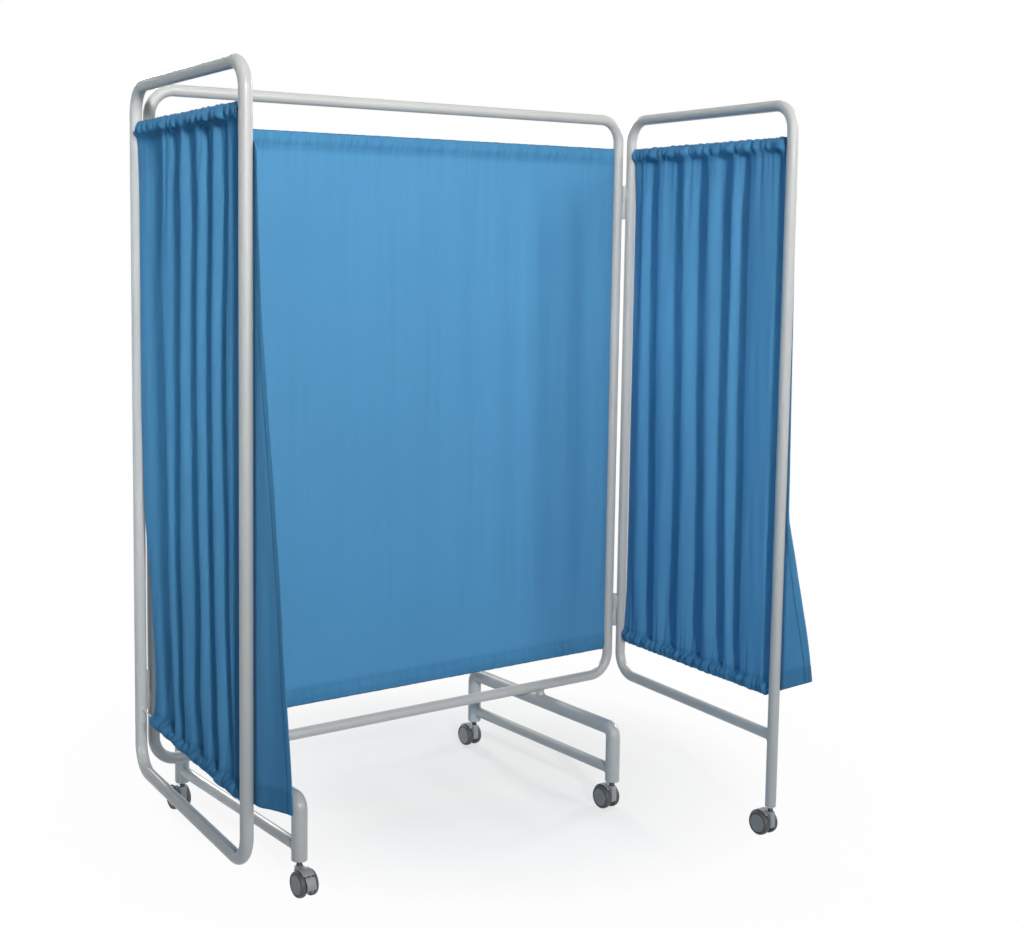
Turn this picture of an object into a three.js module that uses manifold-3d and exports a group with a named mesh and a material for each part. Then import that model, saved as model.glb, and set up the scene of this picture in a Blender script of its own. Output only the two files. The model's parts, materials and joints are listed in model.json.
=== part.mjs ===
// A ward privacy screen: a wide centre panel on two wheeled feet, with a folding wing hinged to each side.
// Millimetres, +Z up. Everything is placed from the middle of the centre panel, and at the end the whole
// screen is moved so that its origin is the middle of its footprint on the floor.

import * as THREE from 'three';
import { mergeVertices } from 'three/addons/utils/BufferGeometryUtils.js';
import Module from 'manifold-3d';

const wasm = await Module();
wasm.setup();

// Clearances that every piece shares
const seatGap = 0.3; // between two pieces that touch
const overrun = 3; // how far a cut runs past the face that it opens
const weldDistance = 0.001; // corners closer than this are one corner

// Frame tubes
const tubeRadius = 12.5;
const tubeWall = 1.5;
const cornerRadius = 55; // centre line of a frame's bends
const topRailHeight = 1657;
const bottomRailHeight = 236;
const centreWidth = 1285; // between the centre lines of the posts
const wingWidth = 588;
const weldBead = 1.2; // how far a fillet weld stands proud
const weldLength = 9;

// Feet
const legRadius = 17;
const legWall = 2;
const legBendRadius = 20;
const riserHeight = 8.5; // between the hoop and the bottom rail
const hoopHeight = bottomRailHeight - tubeRadius - riserHeight - legRadius; // centre line of the hoop's top
const footHalfLength = 276; // from the centre panel to a leg's centre line
const leftFootInset = 198.5; // from the centre panel's post to the foot
const rightFootInset = 223;
const stretcherHeight = 98.5;
const legEndHeight = 70;
const riserTopRadius = 8.5;
const riserFootRadius = 12.5;

// Hinges
const barrelRadius = 5;
const barrelLength = 42.5;
const barrelEnd = 5; // closed end of a barrel
const barrelWebWidth = 7;
const pinRadius = 2.5;
const upperHingeDrop = 203; // from the top rail to the middle of the upper hinge
const lowerHingeRise = 166; // from the bottom rail to the middle of the lower hinge
const hingeTurn = THREE.MathUtils.degToRad(20); // how far the barrels sit forward of the posts
const squareFold = THREE.MathUtils.degToRad(90);
const leftFold = THREE.MathUtils.degToRad(84); // 0 is in line with the centre panel, 180 is folded flat
const rightFold = THREE.MathUtils.degToRad(96);

// Curtains and the rods through their casings
const clothTopDrop = 70; // from the top rail to the curtain's top edge
const casingHeight = 38;
const casingHalfDepth = 5;
const clothHalfDepth = 1.3;
const rodRadius = 1.5;
const rodSeat = 5; // how far a rod's end reaches past the tube's wall
const centreClothRise = 65; // from the bottom rail to the curtain's bottom edge
const leftClothRise = 109;
const rightClothRise = 84;
const foldDepth = 13;
const puckerDepth = 3;
const casingPucker = 1.6;
const foldSpread = 150; // below a casing, the height in which the folds open out
const leftValleyShares = [0.245, 0.465, 0.605, 0.728, 0.838];
const rightValleyShares = [0.19, 0.36, 0.51, 0.66, 0.765];
const centreFoldCount = 7;
const flapTurn = 48; // before the outer post, where the cloth starts to turn behind it
const flapOffset = 15.5; // from the middle of the frame to the flap behind the post
const flapStep = 24; // height of the two rows in which the flap clears the post
const leftFlapReach = 175;
const leftFlapRise = 50;
const leftFlapDrop = 277; // from the top rail to where the flap starts to widen
const rightFlapReach = 92;
const rightFlapRise = 34;
const rightFlapDrop = 935;
const leftPull = 66; // how far the left curtain is drawn away from its inner post
const leftPullHeight = 480; // where that starts, above the curtain's bottom edge

// Twin-wheel casters
const wheelRadius = 27.5;
const casterHalfWidth = 21;
const wheelInner = 8; // from the middle of the caster to a wheel's inner face
const wheelRound = 1.6;
const casterTrail = 20;
const hoodClearance = 1.8;
const hoodWall = 2.4;
const webHalfWidth = 7;
const webFoot = 14; // height of the hood's lower edge
const neckHalfLength = 9.5;
const bossRadius = 9;
const stemRadius = 5;
const stemDepth = 22; // how far the stem runs down into the hood
const stemRise = 30; // how far the stem runs up into its socket
const collarRadius = 8;
const collarHeight = 4.7;
const axleRadius = 3;
const axleBossRadius = 7; // the thicker part of the hood's web that the wheels run against
const capRadius = 21;
const capDepth = 2.6;
const capDish = 0.8;
const hoodFront = THREE.MathUtils.degToRad(130);
const hoodRear = THREE.MathUtils.degToRad(8);
const socketDepth = 34; // the plug in a leg's end that holds the stem

// Brake pedal of the front left caster
const pedalHalfWidth = 11;
const pedalWall = 3;
const pedalGap = 1.2; // from the tread to the pedal when the brake is on
const pedalLugRadius = 4;
const pedalLugHalfWidth = 4;
const pedalPinRadius = 1.5;
const pedalPivotRadius = 23.5; // from the axle to the pedal's pivot
const pedalPivotAngle = THREE.MathUtils.degToRad(38);
const pedalTipAngle = THREE.MathUtils.degToRad(-25);
const pedalOpen = THREE.MathUtils.degToRad(8);
const brakedHoodRear = THREE.MathUtils.degToRad(50);

// Counts of faces
const tubeSides = 12;
const boreSides = 8;
const legSides = 14;
const bendSteps = 4;
const wheelSides = 16;
const smallSides = 12;
const stemSides = 10;
const foldSteps = 5;
const flapSteps = 3;
const wingRows = 5;
const centreRows = 2;

const paint = new THREE.MeshStandardMaterial({ color: 0xb4babc, roughness: 0.42, metalness: 0.0 });
const steel = new THREE.MeshStandardMaterial({ color: 0xb9bcbe, roughness: 0.3, metalness: 0.9 });
const cloth = new THREE.MeshStandardMaterial({ color: 0x4b8cc0, roughness: 0.9, metalness: 0.0 });
const tyre = new THREE.MeshStandardMaterial({ color: 0x4a4d4e, roughness: 0.75, metalness: 0.0 });
const hubPlastic = new THREE.MeshStandardMaterial({ color: 0x7d8385, roughness: 0.5, metalness: 0.0 });
const hoodPlastic = new THREE.MeshStandardMaterial({ color: 0x8d9394, roughness: 0.45, metalness: 0.0 });

const forward = new THREE.Vector3(0, 1, 0);
const sideBasis = new THREE.Matrix4().makeBasis(
  new THREE.Vector3(0, 1, 0), new THREE.Vector3(0, 0, 1), new THREE.Vector3(1, 0, 0));

// Turns a closed geometry into a solid, with shared corners and no empty triangles.
function solid(geometry) {
  geometry.deleteAttribute('normal');
  geometry.deleteAttribute('uv');
  const merged = mergeVertices(geometry, weldDistance);
  const corners = [];
  for (let i = 0; i < merged.index.count; i += 3) {
    const [a, b, c] = [merged.index.getX(i), merged.index.getX(i + 1), merged.index.getX(i + 2)];
    if (a !== b && b !== c && c !== a) corners.push(a, b, c);
  }
  return new wasm.Manifold(new wasm.Mesh({
    numProp: 3,
    vertProperties: merged.attributes.position.array,
    triVerts: Uint32Array.from(corners),
  }));
}

function namedMesh(name, body, material) {
  const { vertProperties, triVerts } = body.getMesh();
  const geometry = new THREE.BufferGeometry();
  geometry.setAttribute('position', new THREE.BufferAttribute(vertProperties, 3));
  geometry.setIndex(new THREE.BufferAttribute(triVerts, 1));
  geometry.computeVertexNormals();
  const mesh = new THREE.Mesh(geometry, material);
  mesh.name = name;
  return mesh;
}

const point = (x, y, z) => new THREE.Vector3(x, y, z);
const union = (bodies) => bodies.reduce((whole, body) => whole.add(body));

// A round bar between two points.
function bar(start, end, radius, sides = smallSides) {
  const along = end.clone().sub(start);
  const geometry = new THREE.CylinderGeometry(radius, radius, along.length(), sides);
  geometry.applyQuaternion(new THREE.Quaternion().setFromUnitVectors(forward, along.clone().normalize()));
  const middle = start.clone().add(end).multiplyScalar(0.5);
  geometry.translate(middle.x, middle.y, middle.z);
  return solid(geometry);
}

// A turned piece about Z. Its profile is a closed list of [radius, height].
function turned(profile, sides) {
  const points = profile.map(([radius, height]) => new THREE.Vector2(radius, height));
  points.push(points[0].clone());
  const geometry = new THREE.LatheGeometry(points, sides);
  geometry.rotateX(Math.PI / 2);
  return solid(geometry);
}

// An outline in the plane of Y and Z, given a width along X.
function sideways(shape, halfWidth, curveSegments = smallSides, middle = 0) {
  const geometry = new THREE.ExtrudeGeometry(shape, {
    depth: 2 * halfWidth, bevelEnabled: false, curveSegments,
  });
  geometry.translate(0, 0, middle - halfWidth);
  geometry.applyMatrix4(sideBasis);
  return solid(geometry);
}

// Straight runs joined by round bends. The steps of a sweep fall only where a bend starts, turns or ends.
class BentPath extends THREE.Curve {
  constructor(corners, bendRadius, steps) {
    super();
    this.stations = [corners[0].clone()];
    this.tangents = [corners[1].clone().sub(corners[0]).normalize()];
    for (let i = 1; i < corners.length - 1; i += 1) {
      const entry = corners[i].clone().sub(corners[i - 1]).normalize();
      const exit = corners[i + 1].clone().sub(corners[i]).normalize();
      const turn = entry.angleTo(exit);
      const inward = exit.clone().addScaledVector(entry, -Math.cos(turn)).normalize();
      const start = corners[i].clone().addScaledVector(entry, -bendRadius * Math.tan(turn / 2));
      for (let k = 0; k <= steps; k += 1) {
        const angle = turn * k / steps;
        this.stations.push(start.clone()
          .addScaledVector(inward, bendRadius * (1 - Math.cos(angle)))
          .addScaledVector(entry, bendRadius * Math.sin(angle)));
        this.tangents.push(entry.clone().multiplyScalar(Math.cos(angle))
          .addScaledVector(inward, Math.sin(angle)));
      }
    }
    this.stations.push(corners.at(-1).clone());
    this.tangents.push(corners.at(-1).clone().sub(corners.at(-2)).normalize());
  }

  get steps() {
    return this.stations.length - 1;
  }

  getPointAt(share, target = new THREE.Vector3()) {
    return target.copy(this.stations[Math.round(share * this.steps)]);
  }

  getTangentAt(share, target = new THREE.Vector3()) {
    return target.copy(this.tangents[Math.round(share * this.steps)]);
  }
}

// A round section swept along a path. A loop drops its two end faces, which lie on each other.
function swept(path, radius, sides, loop = false) {
  const section = new THREE.Shape(Array.from({ length: sides }, (_, i) => {
    const angle = 2 * Math.PI * i / sides;
    return new THREE.Vector2(radius * Math.cos(angle), radius * Math.sin(angle));
  }));
  let geometry = new THREE.ExtrudeGeometry(section, { steps: path.steps, extrudePath: path });
  if (loop) {
    const sideFaces = geometry.groups[1];
    const first = 3 * sideFaces.start;
    const wall = geometry.attributes.position.array.slice(first, first + 3 * sideFaces.count);
    geometry = new THREE.BufferGeometry();
    geometry.setAttribute('position', new THREE.BufferAttribute(wall, 3));
  }
  return solid(geometry);
}

// Panel frames, in the panel's own plane: X from the first post to the second, Z up

const topRodHeight = topRailHeight - clothTopDrop - casingHeight / 2;
const tubeBore = tubeRadius - tubeWall;
const clothSide = tubeRadius + seatGap; // where a curtain starts beside a post

function rodHoles(width, bottomRodHeight) {
  return union([topRodHeight, bottomRodHeight].map((height) =>
    bar(point(0, 0, height), point(width, 0, height), rodRadius + seatGap, boreSides)));
}

// A frame bent from one tube into a closed loop.
function loopFrame(width, bottomRodHeight) {
  const half = width / 2;
  const corners = [
    point(half, 0, bottomRailHeight), point(width, 0, bottomRailHeight), point(width, 0, topRailHeight),
    point(0, 0, topRailHeight), point(0, 0, bottomRailHeight), point(half, 0, bottomRailHeight),
  ];
  const outside = swept(new BentPath(corners, cornerRadius, bendSteps), tubeRadius, tubeSides, true);
  const inside = swept(new BentPath(corners, cornerRadius, bendSteps), tubeBore, boreSides, true);
  return outside.subtract(inside).subtract(rodHoles(width, bottomRodHeight));
}

// A frame whose outer post runs on down as a leg, with the bottom rail welded to it.
function leggedFrame(width, bottomRodHeight) {
  const railEnd = width - tubeRadius + tubeWall / 2;
  const corners = [
    point(width, 0, legEndHeight), point(width, 0, topRailHeight), point(0, 0, topRailHeight),
    point(0, 0, bottomRailHeight), point(railEnd, 0, bottomRailHeight),
  ];
  const boreCorners = corners.map((corner) => corner.clone());
  boreCorners[0].z += socketDepth;
  boreCorners.at(-1).x = width;
  const outside = swept(new BentPath(corners, cornerRadius, bendSteps), tubeRadius, tubeSides);
  const weld = bar(
    point(railEnd - weldLength, 0, bottomRailHeight), point(railEnd, 0, bottomRailHeight),
    tubeRadius + weldBead, tubeSides);
  const inside = swept(new BentPath(boreCorners, cornerRadius, bendSteps), tubeBore, boreSides);
  return outside.add(weld).subtract(inside).subtract(stemHole(width, 0))
    .subtract(rodHoles(width, bottomRodHeight));
}

// The hole in a leg's plug. It opens the tube above.
function stemHole(x, y) {
  return bar(
    point(x, y, legEndHeight - overrun), point(x, y, legEndHeight + socketDepth + overrun),
    stemRadius + seatGap, stemSides);
}

function curtainRod(width, height) {
  const reach = tubeBore - rodSeat;
  return bar(point(reach, 0, height), point(width - reach, 0, height), rodRadius, boreSides);
}

// Curtains, in the same plane as their frame, with the rods' tunnels through both casings

// How far the cloth stands back at each column: 1 in a valley, -1 on a ridge, 0 at both edges.
function foldColumns(valleyShares, width, end) {
  const columns = [];
  const stops = [clothSide, ...valleyShares.map((share) => share * width), end];
  for (let i = 0; i < stops.length - 1; i += 1) {
    const from = i === 0 ? 0.25 : 0;
    const to = i === stops.length - 2 ? 0.75 : 1;
    for (let k = 0; k < foldSteps; k += 1) {
      const share = k / foldSteps;
      columns.push({
        place: THREE.MathUtils.lerp(stops[i], stops[i + 1], share),
        stand: Math.cos(2 * Math.PI * THREE.MathUtils.lerp(from, to, share)),
      });
    }
  }
  columns.push({ place: end, stand: 0 });
  return columns;
}

// Closes a grid of [x, y, z, half depth] rows into a thin solid, front and back joined round its edges.
function clothSolid(rows) {
  const columnCount = rows[0].length;
  const positions = [];
  for (const side of [-1, 1]) {
    for (const row of rows) {
      for (const [x, y, z, half] of row) positions.push(x, y + side * half, z);
    }
  }
  const back = rows.length * columnCount;
  const index = [];
  const quad = (a, b, c, d) => index.push(a, b, c, a, c, d);
  for (let j = 0; j < rows.length - 1; j += 1) {
    for (let i = 0; i < columnCount - 1; i += 1) {
      const a = j * columnCount + i;
      const b = a + columnCount;
      quad(a, b, b + 1, a + 1);
      quad(back + a, back + a + 1, back + b + 1, back + b);
    }
    const left = j * columnCount;
    const right = left + columnCount - 1;
    quad(left, back + left, back + left + columnCount, left + columnCount);
    quad(right, right + columnCount, back + right + columnCount, back + right);
  }
  const lastRow = back - columnCount;
  for (let i = 0; i < columnCount - 1; i += 1) {
    quad(i, i + 1, back + i + 1, back + i);
    quad(lastRow + i, back + lastRow + i, back + lastRow + i + 1, lastRow + i + 1);
  }
  const geometry = new THREE.BufferGeometry();
  geometry.setAttribute('position', new THREE.Float32BufferAttribute(positions, 3));
  geometry.setIndex(index);
  return solid(geometry);
}

// The rows of a curtain from its top edge down: height, how open the folds are, and the cloth's half depth.
function clothRows(bottom, depth, bodyRows) {
  const top = topRailHeight - clothTopDrop;
  const upperSeam = top - casingHeight;
  const lowerSeam = bottom + casingHeight;
  const rows = [
    { height: top, depth: casingPucker, half: clothHalfDepth, casing: true },
    { height: topRodHeight, depth: casingPucker, half: casingHalfDepth, casing: true },
    { height: upperSeam, depth: (casingPucker + depth) / 3, half: clothHalfDepth, casing: true },
    { height: upperSeam - flapStep, depth: depth / 2, half: clothHalfDepth, turning: true },
    { height: upperSeam - 2 * flapStep, depth: 2 * depth / 3, half: clothHalfDepth },
  ];
  const bodyTop = upperSeam - foldSpread;
  const bodyFoot = lowerSeam + foldSpread;
  for (let k = 0; k < bodyRows; k += 1) {
    const height = THREE.MathUtils.lerp(bodyTop, bodyFoot, k / (bodyRows - 1));
    rows.push({ height, depth, half: clothHalfDepth });
  }
  rows.push({ height: lowerSeam, depth: depth / 2, half: clothHalfDepth });
  rows.push({ height: bottom + casingHeight / 2, depth: casingPucker, half: casingHalfDepth });
  rows.push({ height: bottom, depth: casingPucker, half: clothHalfDepth });
  return rows;
}

// Cuts the tunnels that the two rods run through.
function withTunnels(body, width, bottomRodHeight) {
  return body.subtract(rodHoles(width, bottomRodHeight));
}

// The centre curtain hangs almost flat, with a few shallow folds.
function centreCurtain() {
  const bottom = bottomRailHeight + centreClothRise;
  const end = centreWidth - clothSide;
  const shares = Array.from({ length: centreFoldCount }, (_, i) => (i + 0.75) / (centreFoldCount + 0.5));
  const columns = foldColumns(shares, centreWidth, end);
  const rows = clothRows(bottom, puckerDepth, centreRows).filter((row) => !row.turning);
  return withTunnels(clothSolid(rows.map((row) => columns.map(({ place, stand }) =>
    [place, row.depth * stand, row.height, row.half]))), centreWidth, bottom + casingHeight / 2);
}

// A wing's curtain hangs in deep folds. Its free edge passes behind the outer post as a loose flap.
function wingCurtain({ rise, valleyShares, flapReach, flapRise, flapTop, pull }) {
  const bottom = bottomRailHeight + rise;
  const top = topRailHeight - clothTopDrop;
  const turn = wingWidth - tubeRadius - flapTurn;
  const beside = wingWidth - clothSide;
  const past = wingWidth + tubeRadius;
  const columns = foldColumns(valleyShares, wingWidth, turn);
  const rows = clothRows(bottom, foldDepth, wingRows).map((row) => {
    const fall = THREE.MathUtils.clamp((flapTop - row.height) / (flapTop - bottom), 0, 1);
    const drawn = pull * THREE.MathUtils.smoothstep(bottom + leftPullHeight - row.height, 0, leftPullHeight);
    const line = columns.map(({ place, stand }, i) => {
      const ease = Math.max(0, 1 - i / (2 * foldSteps));
      return [place + drawn * ease, row.depth * stand, row.height, row.half];
    });
    const edge = past + flapReach * fall;
    for (let k = 1; k <= flapSteps; k += 1) {
      const share = k / flapSteps;
      if (row.casing) {
        line.push([THREE.MathUtils.lerp(turn, beside, share), 0, row.height, row.half]);
      } else if (row.turning) {
        const offset = flapOffset * Math.min(1, 1.5 * share);
        line.push([THREE.MathUtils.lerp(turn, beside, share), offset, row.height, clothHalfDepth]);
      } else {
        const low = (1 - THREE.MathUtils.smoothstep(row.height, bottom, top)) * flapRise;
        const x = THREE.MathUtils.lerp(turn, edge, share ** 1.3);
        const lift = low * Math.max(0, (x - wingWidth) / (past + flapReach - wingWidth));
        line.push([k === 1 ? beside - 2 * tubeRadius : x, flapOffset, row.height + lift, clothHalfDepth]);
      }
    }
    return line;
  });
  return withTunnels(clothSolid(rows), wingWidth, bottom + casingHeight / 2);
}

// Feet, standing at the origin with their legs fore and aft

// A hoop of tube with a riser on top and a plug in each leg's end.
function footHoop() {
  const corners = [
    point(0, -footHalfLength, legEndHeight), point(0, -footHalfLength, hoopHeight),
    point(0, footHalfLength, hoopHeight), point(0, footHalfLength, legEndHeight),
  ];
  const boreCorners = corners.map((corner) => corner.clone());
  boreCorners[0].z += socketDepth;
  boreCorners.at(-1).z += socketDepth;
  const outside = swept(new BentPath(corners, legBendRadius, bendSteps), legRadius, legSides);
  const inside = swept(new BentPath(boreCorners, legBendRadius, bendSteps), legRadius - legWall, boreSides);
  return outside.add(railRiser()).subtract(inside)
    .subtract(stemHole(0, -footHalfLength)).subtract(stemHole(0, footHalfLength));
}

// The stretcher is cut hollow at both ends, so that it closes on the round legs.
function footStretcher() {
  const front = point(0, -footHalfLength, stretcherHeight);
  const rear = point(0, footHalfLength, stretcherHeight);
  const legs = [front, rear].map((end) => bar(
    point(0, end.y, legEndHeight), point(0, end.y, hoopHeight), legRadius + seatGap, 2 * legSides));
  return bar(front, rear, tubeRadius, tubeSides)
    .subtract(bar(front, rear, tubeBore, boreSides))
    .subtract(union(legs));
}

// A short flared riser carries the bottom rail on the hoop, cut to the round rail.
function railRiser() {
  const profile = [
    [0, hoopHeight], [riserFootRadius, hoopHeight], [riserFootRadius, hoopHeight + legRadius],
    [riserTopRadius, bottomRailHeight - tubeRadius], [riserTopRadius, bottomRailHeight], [0, bottomRailHeight],
  ];
  const rail = bar(
    point(-legRadius, 0, bottomRailHeight), point(legRadius, 0, bottomRailHeight),
    tubeRadius + seatGap, 2 * tubeSides);
  return turned(profile, smallSides).subtract(rail);
}

// Lift-off hinges: the lower barrel, with the pin, is welded to the centre panel, the upper one to the wing

const postToPivot = tubeRadius + seatGap + barrelRadius;
const hingeHeights = [
  ['upper', topRailHeight - upperHingeDrop], ['lower', bottomRailHeight + lowerHingeRise],
];

// A barrel on the hinge line, with a web that reaches to its post at the given angle.
function hingeBarrel(height, upward, postAngle) {
  const near = seatGap / 2;
  const far = barrelLength;
  const sign = upward ? 1 : -1;
  const pinReach = barrelLength - barrelEnd - seatGap;
  const post = point(postToPivot * Math.cos(postAngle), postToPivot * Math.sin(postAngle), 0);
  const barrel = bar(point(0, 0, height + sign * near), point(0, 0, height + sign * far), barrelRadius);
  const webGeometry = new THREE.BoxGeometry(postToPivot, barrelWebWidth, (far - near) - 2 * barrelEnd);
  webGeometry.translate(postToPivot / 2, 0, 0);
  webGeometry.rotateZ(postAngle);
  webGeometry.translate(0, 0, height + sign * (near + far) / 2);
  const postCut = bar(
    point(post.x, post.y, height - 2 * far), point(post.x, post.y, height + 2 * far),
    tubeRadius + seatGap, 2 * tubeSides);
  const welded = barrel.add(solid(webGeometry)).subtract(postCut);
  if (!upward) return welded.add(bar(point(0, 0, height - near), point(0, 0, height + pinReach), pinRadius));
  return welded.subtract(bar(
    point(0, 0, height - overrun), point(0, 0, height + far - barrelEnd), pinRadius + seatGap));
}

// Twin-wheel casters, about their own swivel line, with the wheels trailing along +Y

function casterHood(braked) {
  const rear = braked ? brakedHoodRear : hoodRear;
  const innerRadius = wheelRadius + hoodClearance;
  const outerRadius = innerRadius + hoodWall;
  const webRadius = wheelRadius + hoodClearance / 4;
  const hoodTop = wheelRadius + outerRadius;
  const fender = new THREE.Shape();
  fender.moveTo(casterTrail, wheelRadius);
  fender.absarc(casterTrail, wheelRadius, outerRadius, rear, hoodFront, false);
  const web = new THREE.Shape();
  web.moveTo(-neckHalfLength, webFoot);
  const neckAngle = Math.acos((neckHalfLength - casterTrail) / webRadius);
  const footAngle = Math.asin((webFoot - wheelRadius) / webRadius);
  web.absarc(casterTrail, wheelRadius, webRadius, footAngle, neckAngle, false);
  web.lineTo(neckHalfLength, hoodTop);
  web.lineTo(-neckHalfLength, hoodTop);
  const wells = [-1, 1].map((side) => bar(
    point(side * webHalfWidth, casterTrail, wheelRadius),
    point(side * (casterHalfWidth + overrun), casterTrail, wheelRadius), innerRadius, 2 * smallSides));
  const boss = bar(point(0, 0, wheelRadius), point(0, 0, hoodTop), bossRadius, legSides);
  const stemBore = bar(
    point(0, 0, hoodTop + overrun), point(0, 0, hoodTop - stemDepth - seatGap), stemRadius + seatGap);
  const axleBore = bar(
    point(-casterHalfWidth, casterTrail, wheelRadius), point(casterHalfWidth, casterTrail, wheelRadius),
    axleRadius + seatGap);
  const bossReach = wheelInner - seatGap;
  const axleBoss = bar(
    point(-bossReach, casterTrail, wheelRadius), point(bossReach, casterTrail, wheelRadius), axleBossRadius);
  let hood = sideways(fender, casterHalfWidth)
    .add(boss)
    .subtract(union(wells))
    .add(sideways(web, webHalfWidth))
    .add(axleBoss)
    .subtract(stemBore)
    .subtract(axleBore);
  if (braked) hood = hood.subtract(pedalSlot(webRadius)).subtract(pedalPin(seatGap));
  return hood;
}

const pedalPivot = new THREE.Vector2(
  casterTrail + pedalPivotRadius * Math.cos(pedalPivotAngle),
  wheelRadius + pedalPivotRadius * Math.sin(pedalPivotAngle));

// The slot in the hood's web in which the pedal's lug turns.
function pedalSlot(webRadius) {
  const slot = new THREE.Shape();
  const inner = pedalPivotRadius - pedalLugRadius - 2 * seatGap;
  slot.absarc(casterTrail, wheelRadius, webRadius + overrun, pedalTipAngle, brakedHoodRear, false);
  slot.absarc(casterTrail, wheelRadius, inner, brakedHoodRear, pedalTipAngle, true);
  return sideways(slot, pedalLugHalfWidth + seatGap);
}

function pedalPin(gap) {
  const reach = webHalfWidth - seatGap + gap;
  return bar(
    point(-reach, pedalPivot.x, pedalPivot.y), point(reach, pedalPivot.x, pedalPivot.y),
    pedalPinRadius + gap, smallSides);
}

// The pedal is a curved tongue behind the wheels, hung from a lug between them. It stands open.
function brakePedal() {
  const inner = wheelRadius + pedalGap;
  const outer = inner + pedalWall;
  const tongue = new THREE.Shape();
  tongue.absarc(casterTrail, wheelRadius, outer, pedalTipAngle, pedalPivotAngle, false);
  tongue.absarc(casterTrail, wheelRadius, inner, pedalPivotAngle, pedalTipAngle, true);
  const neck = new THREE.Shape();
  const neckAngle = pedalPivotAngle - Math.asin(2 * pedalLugRadius / outer);
  neck.absarc(casterTrail, wheelRadius, inner + pedalWall / 2, neckAngle, pedalPivotAngle, false);
  neck.lineTo(pedalPivot.x, pedalPivot.y);
  const lug = bar(
    point(-pedalLugHalfWidth, pedalPivot.x, pedalPivot.y), point(pedalLugHalfWidth, pedalPivot.x, pedalPivot.y),
    pedalLugRadius);
  const pedal = union([
    sideways(tongue, pedalHalfWidth), sideways(neck, pedalLugHalfWidth), lug, pedalPin(0),
  ]);
  return pedal
    .translate([0, -pedalPivot.x, -pedalPivot.y])
    .rotate([THREE.MathUtils.radToDeg(pedalOpen), 0, 0])
    .translate([0, pedalPivot.x, pedalPivot.y]);
}

function casterStem() {
  const hoodTop = 2 * wheelRadius + hoodClearance + hoodWall;
  const collarTop = legEndHeight - seatGap;
  return turned([
    [0, hoodTop - stemDepth], [stemRadius, hoodTop - stemDepth], [stemRadius, collarTop - collarHeight],
    [collarRadius, collarTop - collarHeight], [collarRadius, collarTop], [stemRadius, collarTop],
    [stemRadius, collarTop + stemRise], [0, collarTop + stemRise],
  ], stemSides);
}

// Wheels and caps are turned about Z, laid over along X, and given a flat to stand on.
function laidOver(body, side) {
  const flatTurn = 180 / wheelSides;
  return body
    .rotate([0, 0, flatTurn])
    .rotate([0, side * 90, 0])
    .translate([0, casterTrail, wheelRadius]);
}

const treadRadius = wheelRadius / Math.cos(Math.PI / wheelSides); // flats, not corners, at the wheel's radius

function casterWheel(side) {
  const bore = axleRadius + seatGap;
  const recess = casterHalfWidth - capDepth;
  return laidOver(turned([
    [bore, wheelInner], [treadRadius, wheelInner],
    [treadRadius, casterHalfWidth - 2 * wheelRound], [treadRadius - wheelRound, casterHalfWidth],
    [capRadius + seatGap, casterHalfWidth], [capRadius + seatGap, recess], [bore, recess],
  ], wheelSides), side);
}

function hubCap(side) {
  const foot = casterHalfWidth - capDepth + seatGap;
  return laidOver(turned([
    [0, foot], [capRadius, foot], [capRadius, casterHalfWidth - capDish], [capRadius - wheelRound, casterHalfWidth],
    [0, casterHalfWidth - capDish],
  ], wheelSides), side);
}

function caster(name, x, y, trailTurn, braked = false) {
  const group = new THREE.Group();
  group.position.set(x, y, 0);
  group.rotation.z = trailTurn;
  const axleReach = casterHalfWidth - capDepth - seatGap;
  const axle = bar(
    point(-axleReach, casterTrail, wheelRadius), point(axleReach, casterTrail, wheelRadius), axleRadius);
  group.add(
    namedMesh(`${name}_stem`, casterStem(), steel),
    namedMesh(`${name}_hood`, casterHood(braked), hoodPlastic),
    namedMesh(`${name}_axle`, axle, steel),
    namedMesh(`${name}_wheel_1`, casterWheel(-1), tyre),
    namedMesh(`${name}_wheel_2`, casterWheel(1), tyre),
    namedMesh(`${name}_hub_cap_1`, hubCap(-1), hubPlastic),
    namedMesh(`${name}_hub_cap_2`, hubCap(1), hubPlastic),
  );
  if (braked) group.add(namedMesh(`${name}_brake_pedal`, brakePedal(), hoodPlastic));
  return group;
}

// Assembly

const screen = new THREE.Group();
const centreRodHeight = bottomRailHeight + centreClothRise + casingHeight / 2;

const centrePanel = new THREE.Group();
centrePanel.position.x = -centreWidth / 2;
centrePanel.add(
  namedMesh('centre_frame', loopFrame(centreWidth, centreRodHeight), paint),
  namedMesh('centre_top_rod', curtainRod(centreWidth, topRodHeight), steel),
  namedMesh('centre_bottom_rod', curtainRod(centreWidth, centreRodHeight), steel),
  namedMesh('centre_curtain', centreCurtain(), cloth),
);
screen.add(centrePanel);

const leftFootX = leftFootInset - centreWidth / 2;
const rightFootX = centreWidth / 2 - rightFootInset;
for (const [side, x] of [['left', leftFootX], ['right', rightFootX]]) {
  const foot = new THREE.Group();
  foot.position.x = x;
  foot.add(
    namedMesh(`${side}_foot_hoop`, footHoop(), paint),
    namedMesh(`${side}_foot_stretcher`, footStretcher(), paint),
  );
  screen.add(foot);
}
screen.add(
  caster('front_left_caster', leftFootX, -footHalfLength, Math.PI, true),
  caster('front_right_caster', rightFootX, -footHalfLength, 0),
  caster('rear_left_caster', leftFootX, footHalfLength, 0),
  caster('rear_right_caster', rightFootX, footHalfLength, 0),
);

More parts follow.
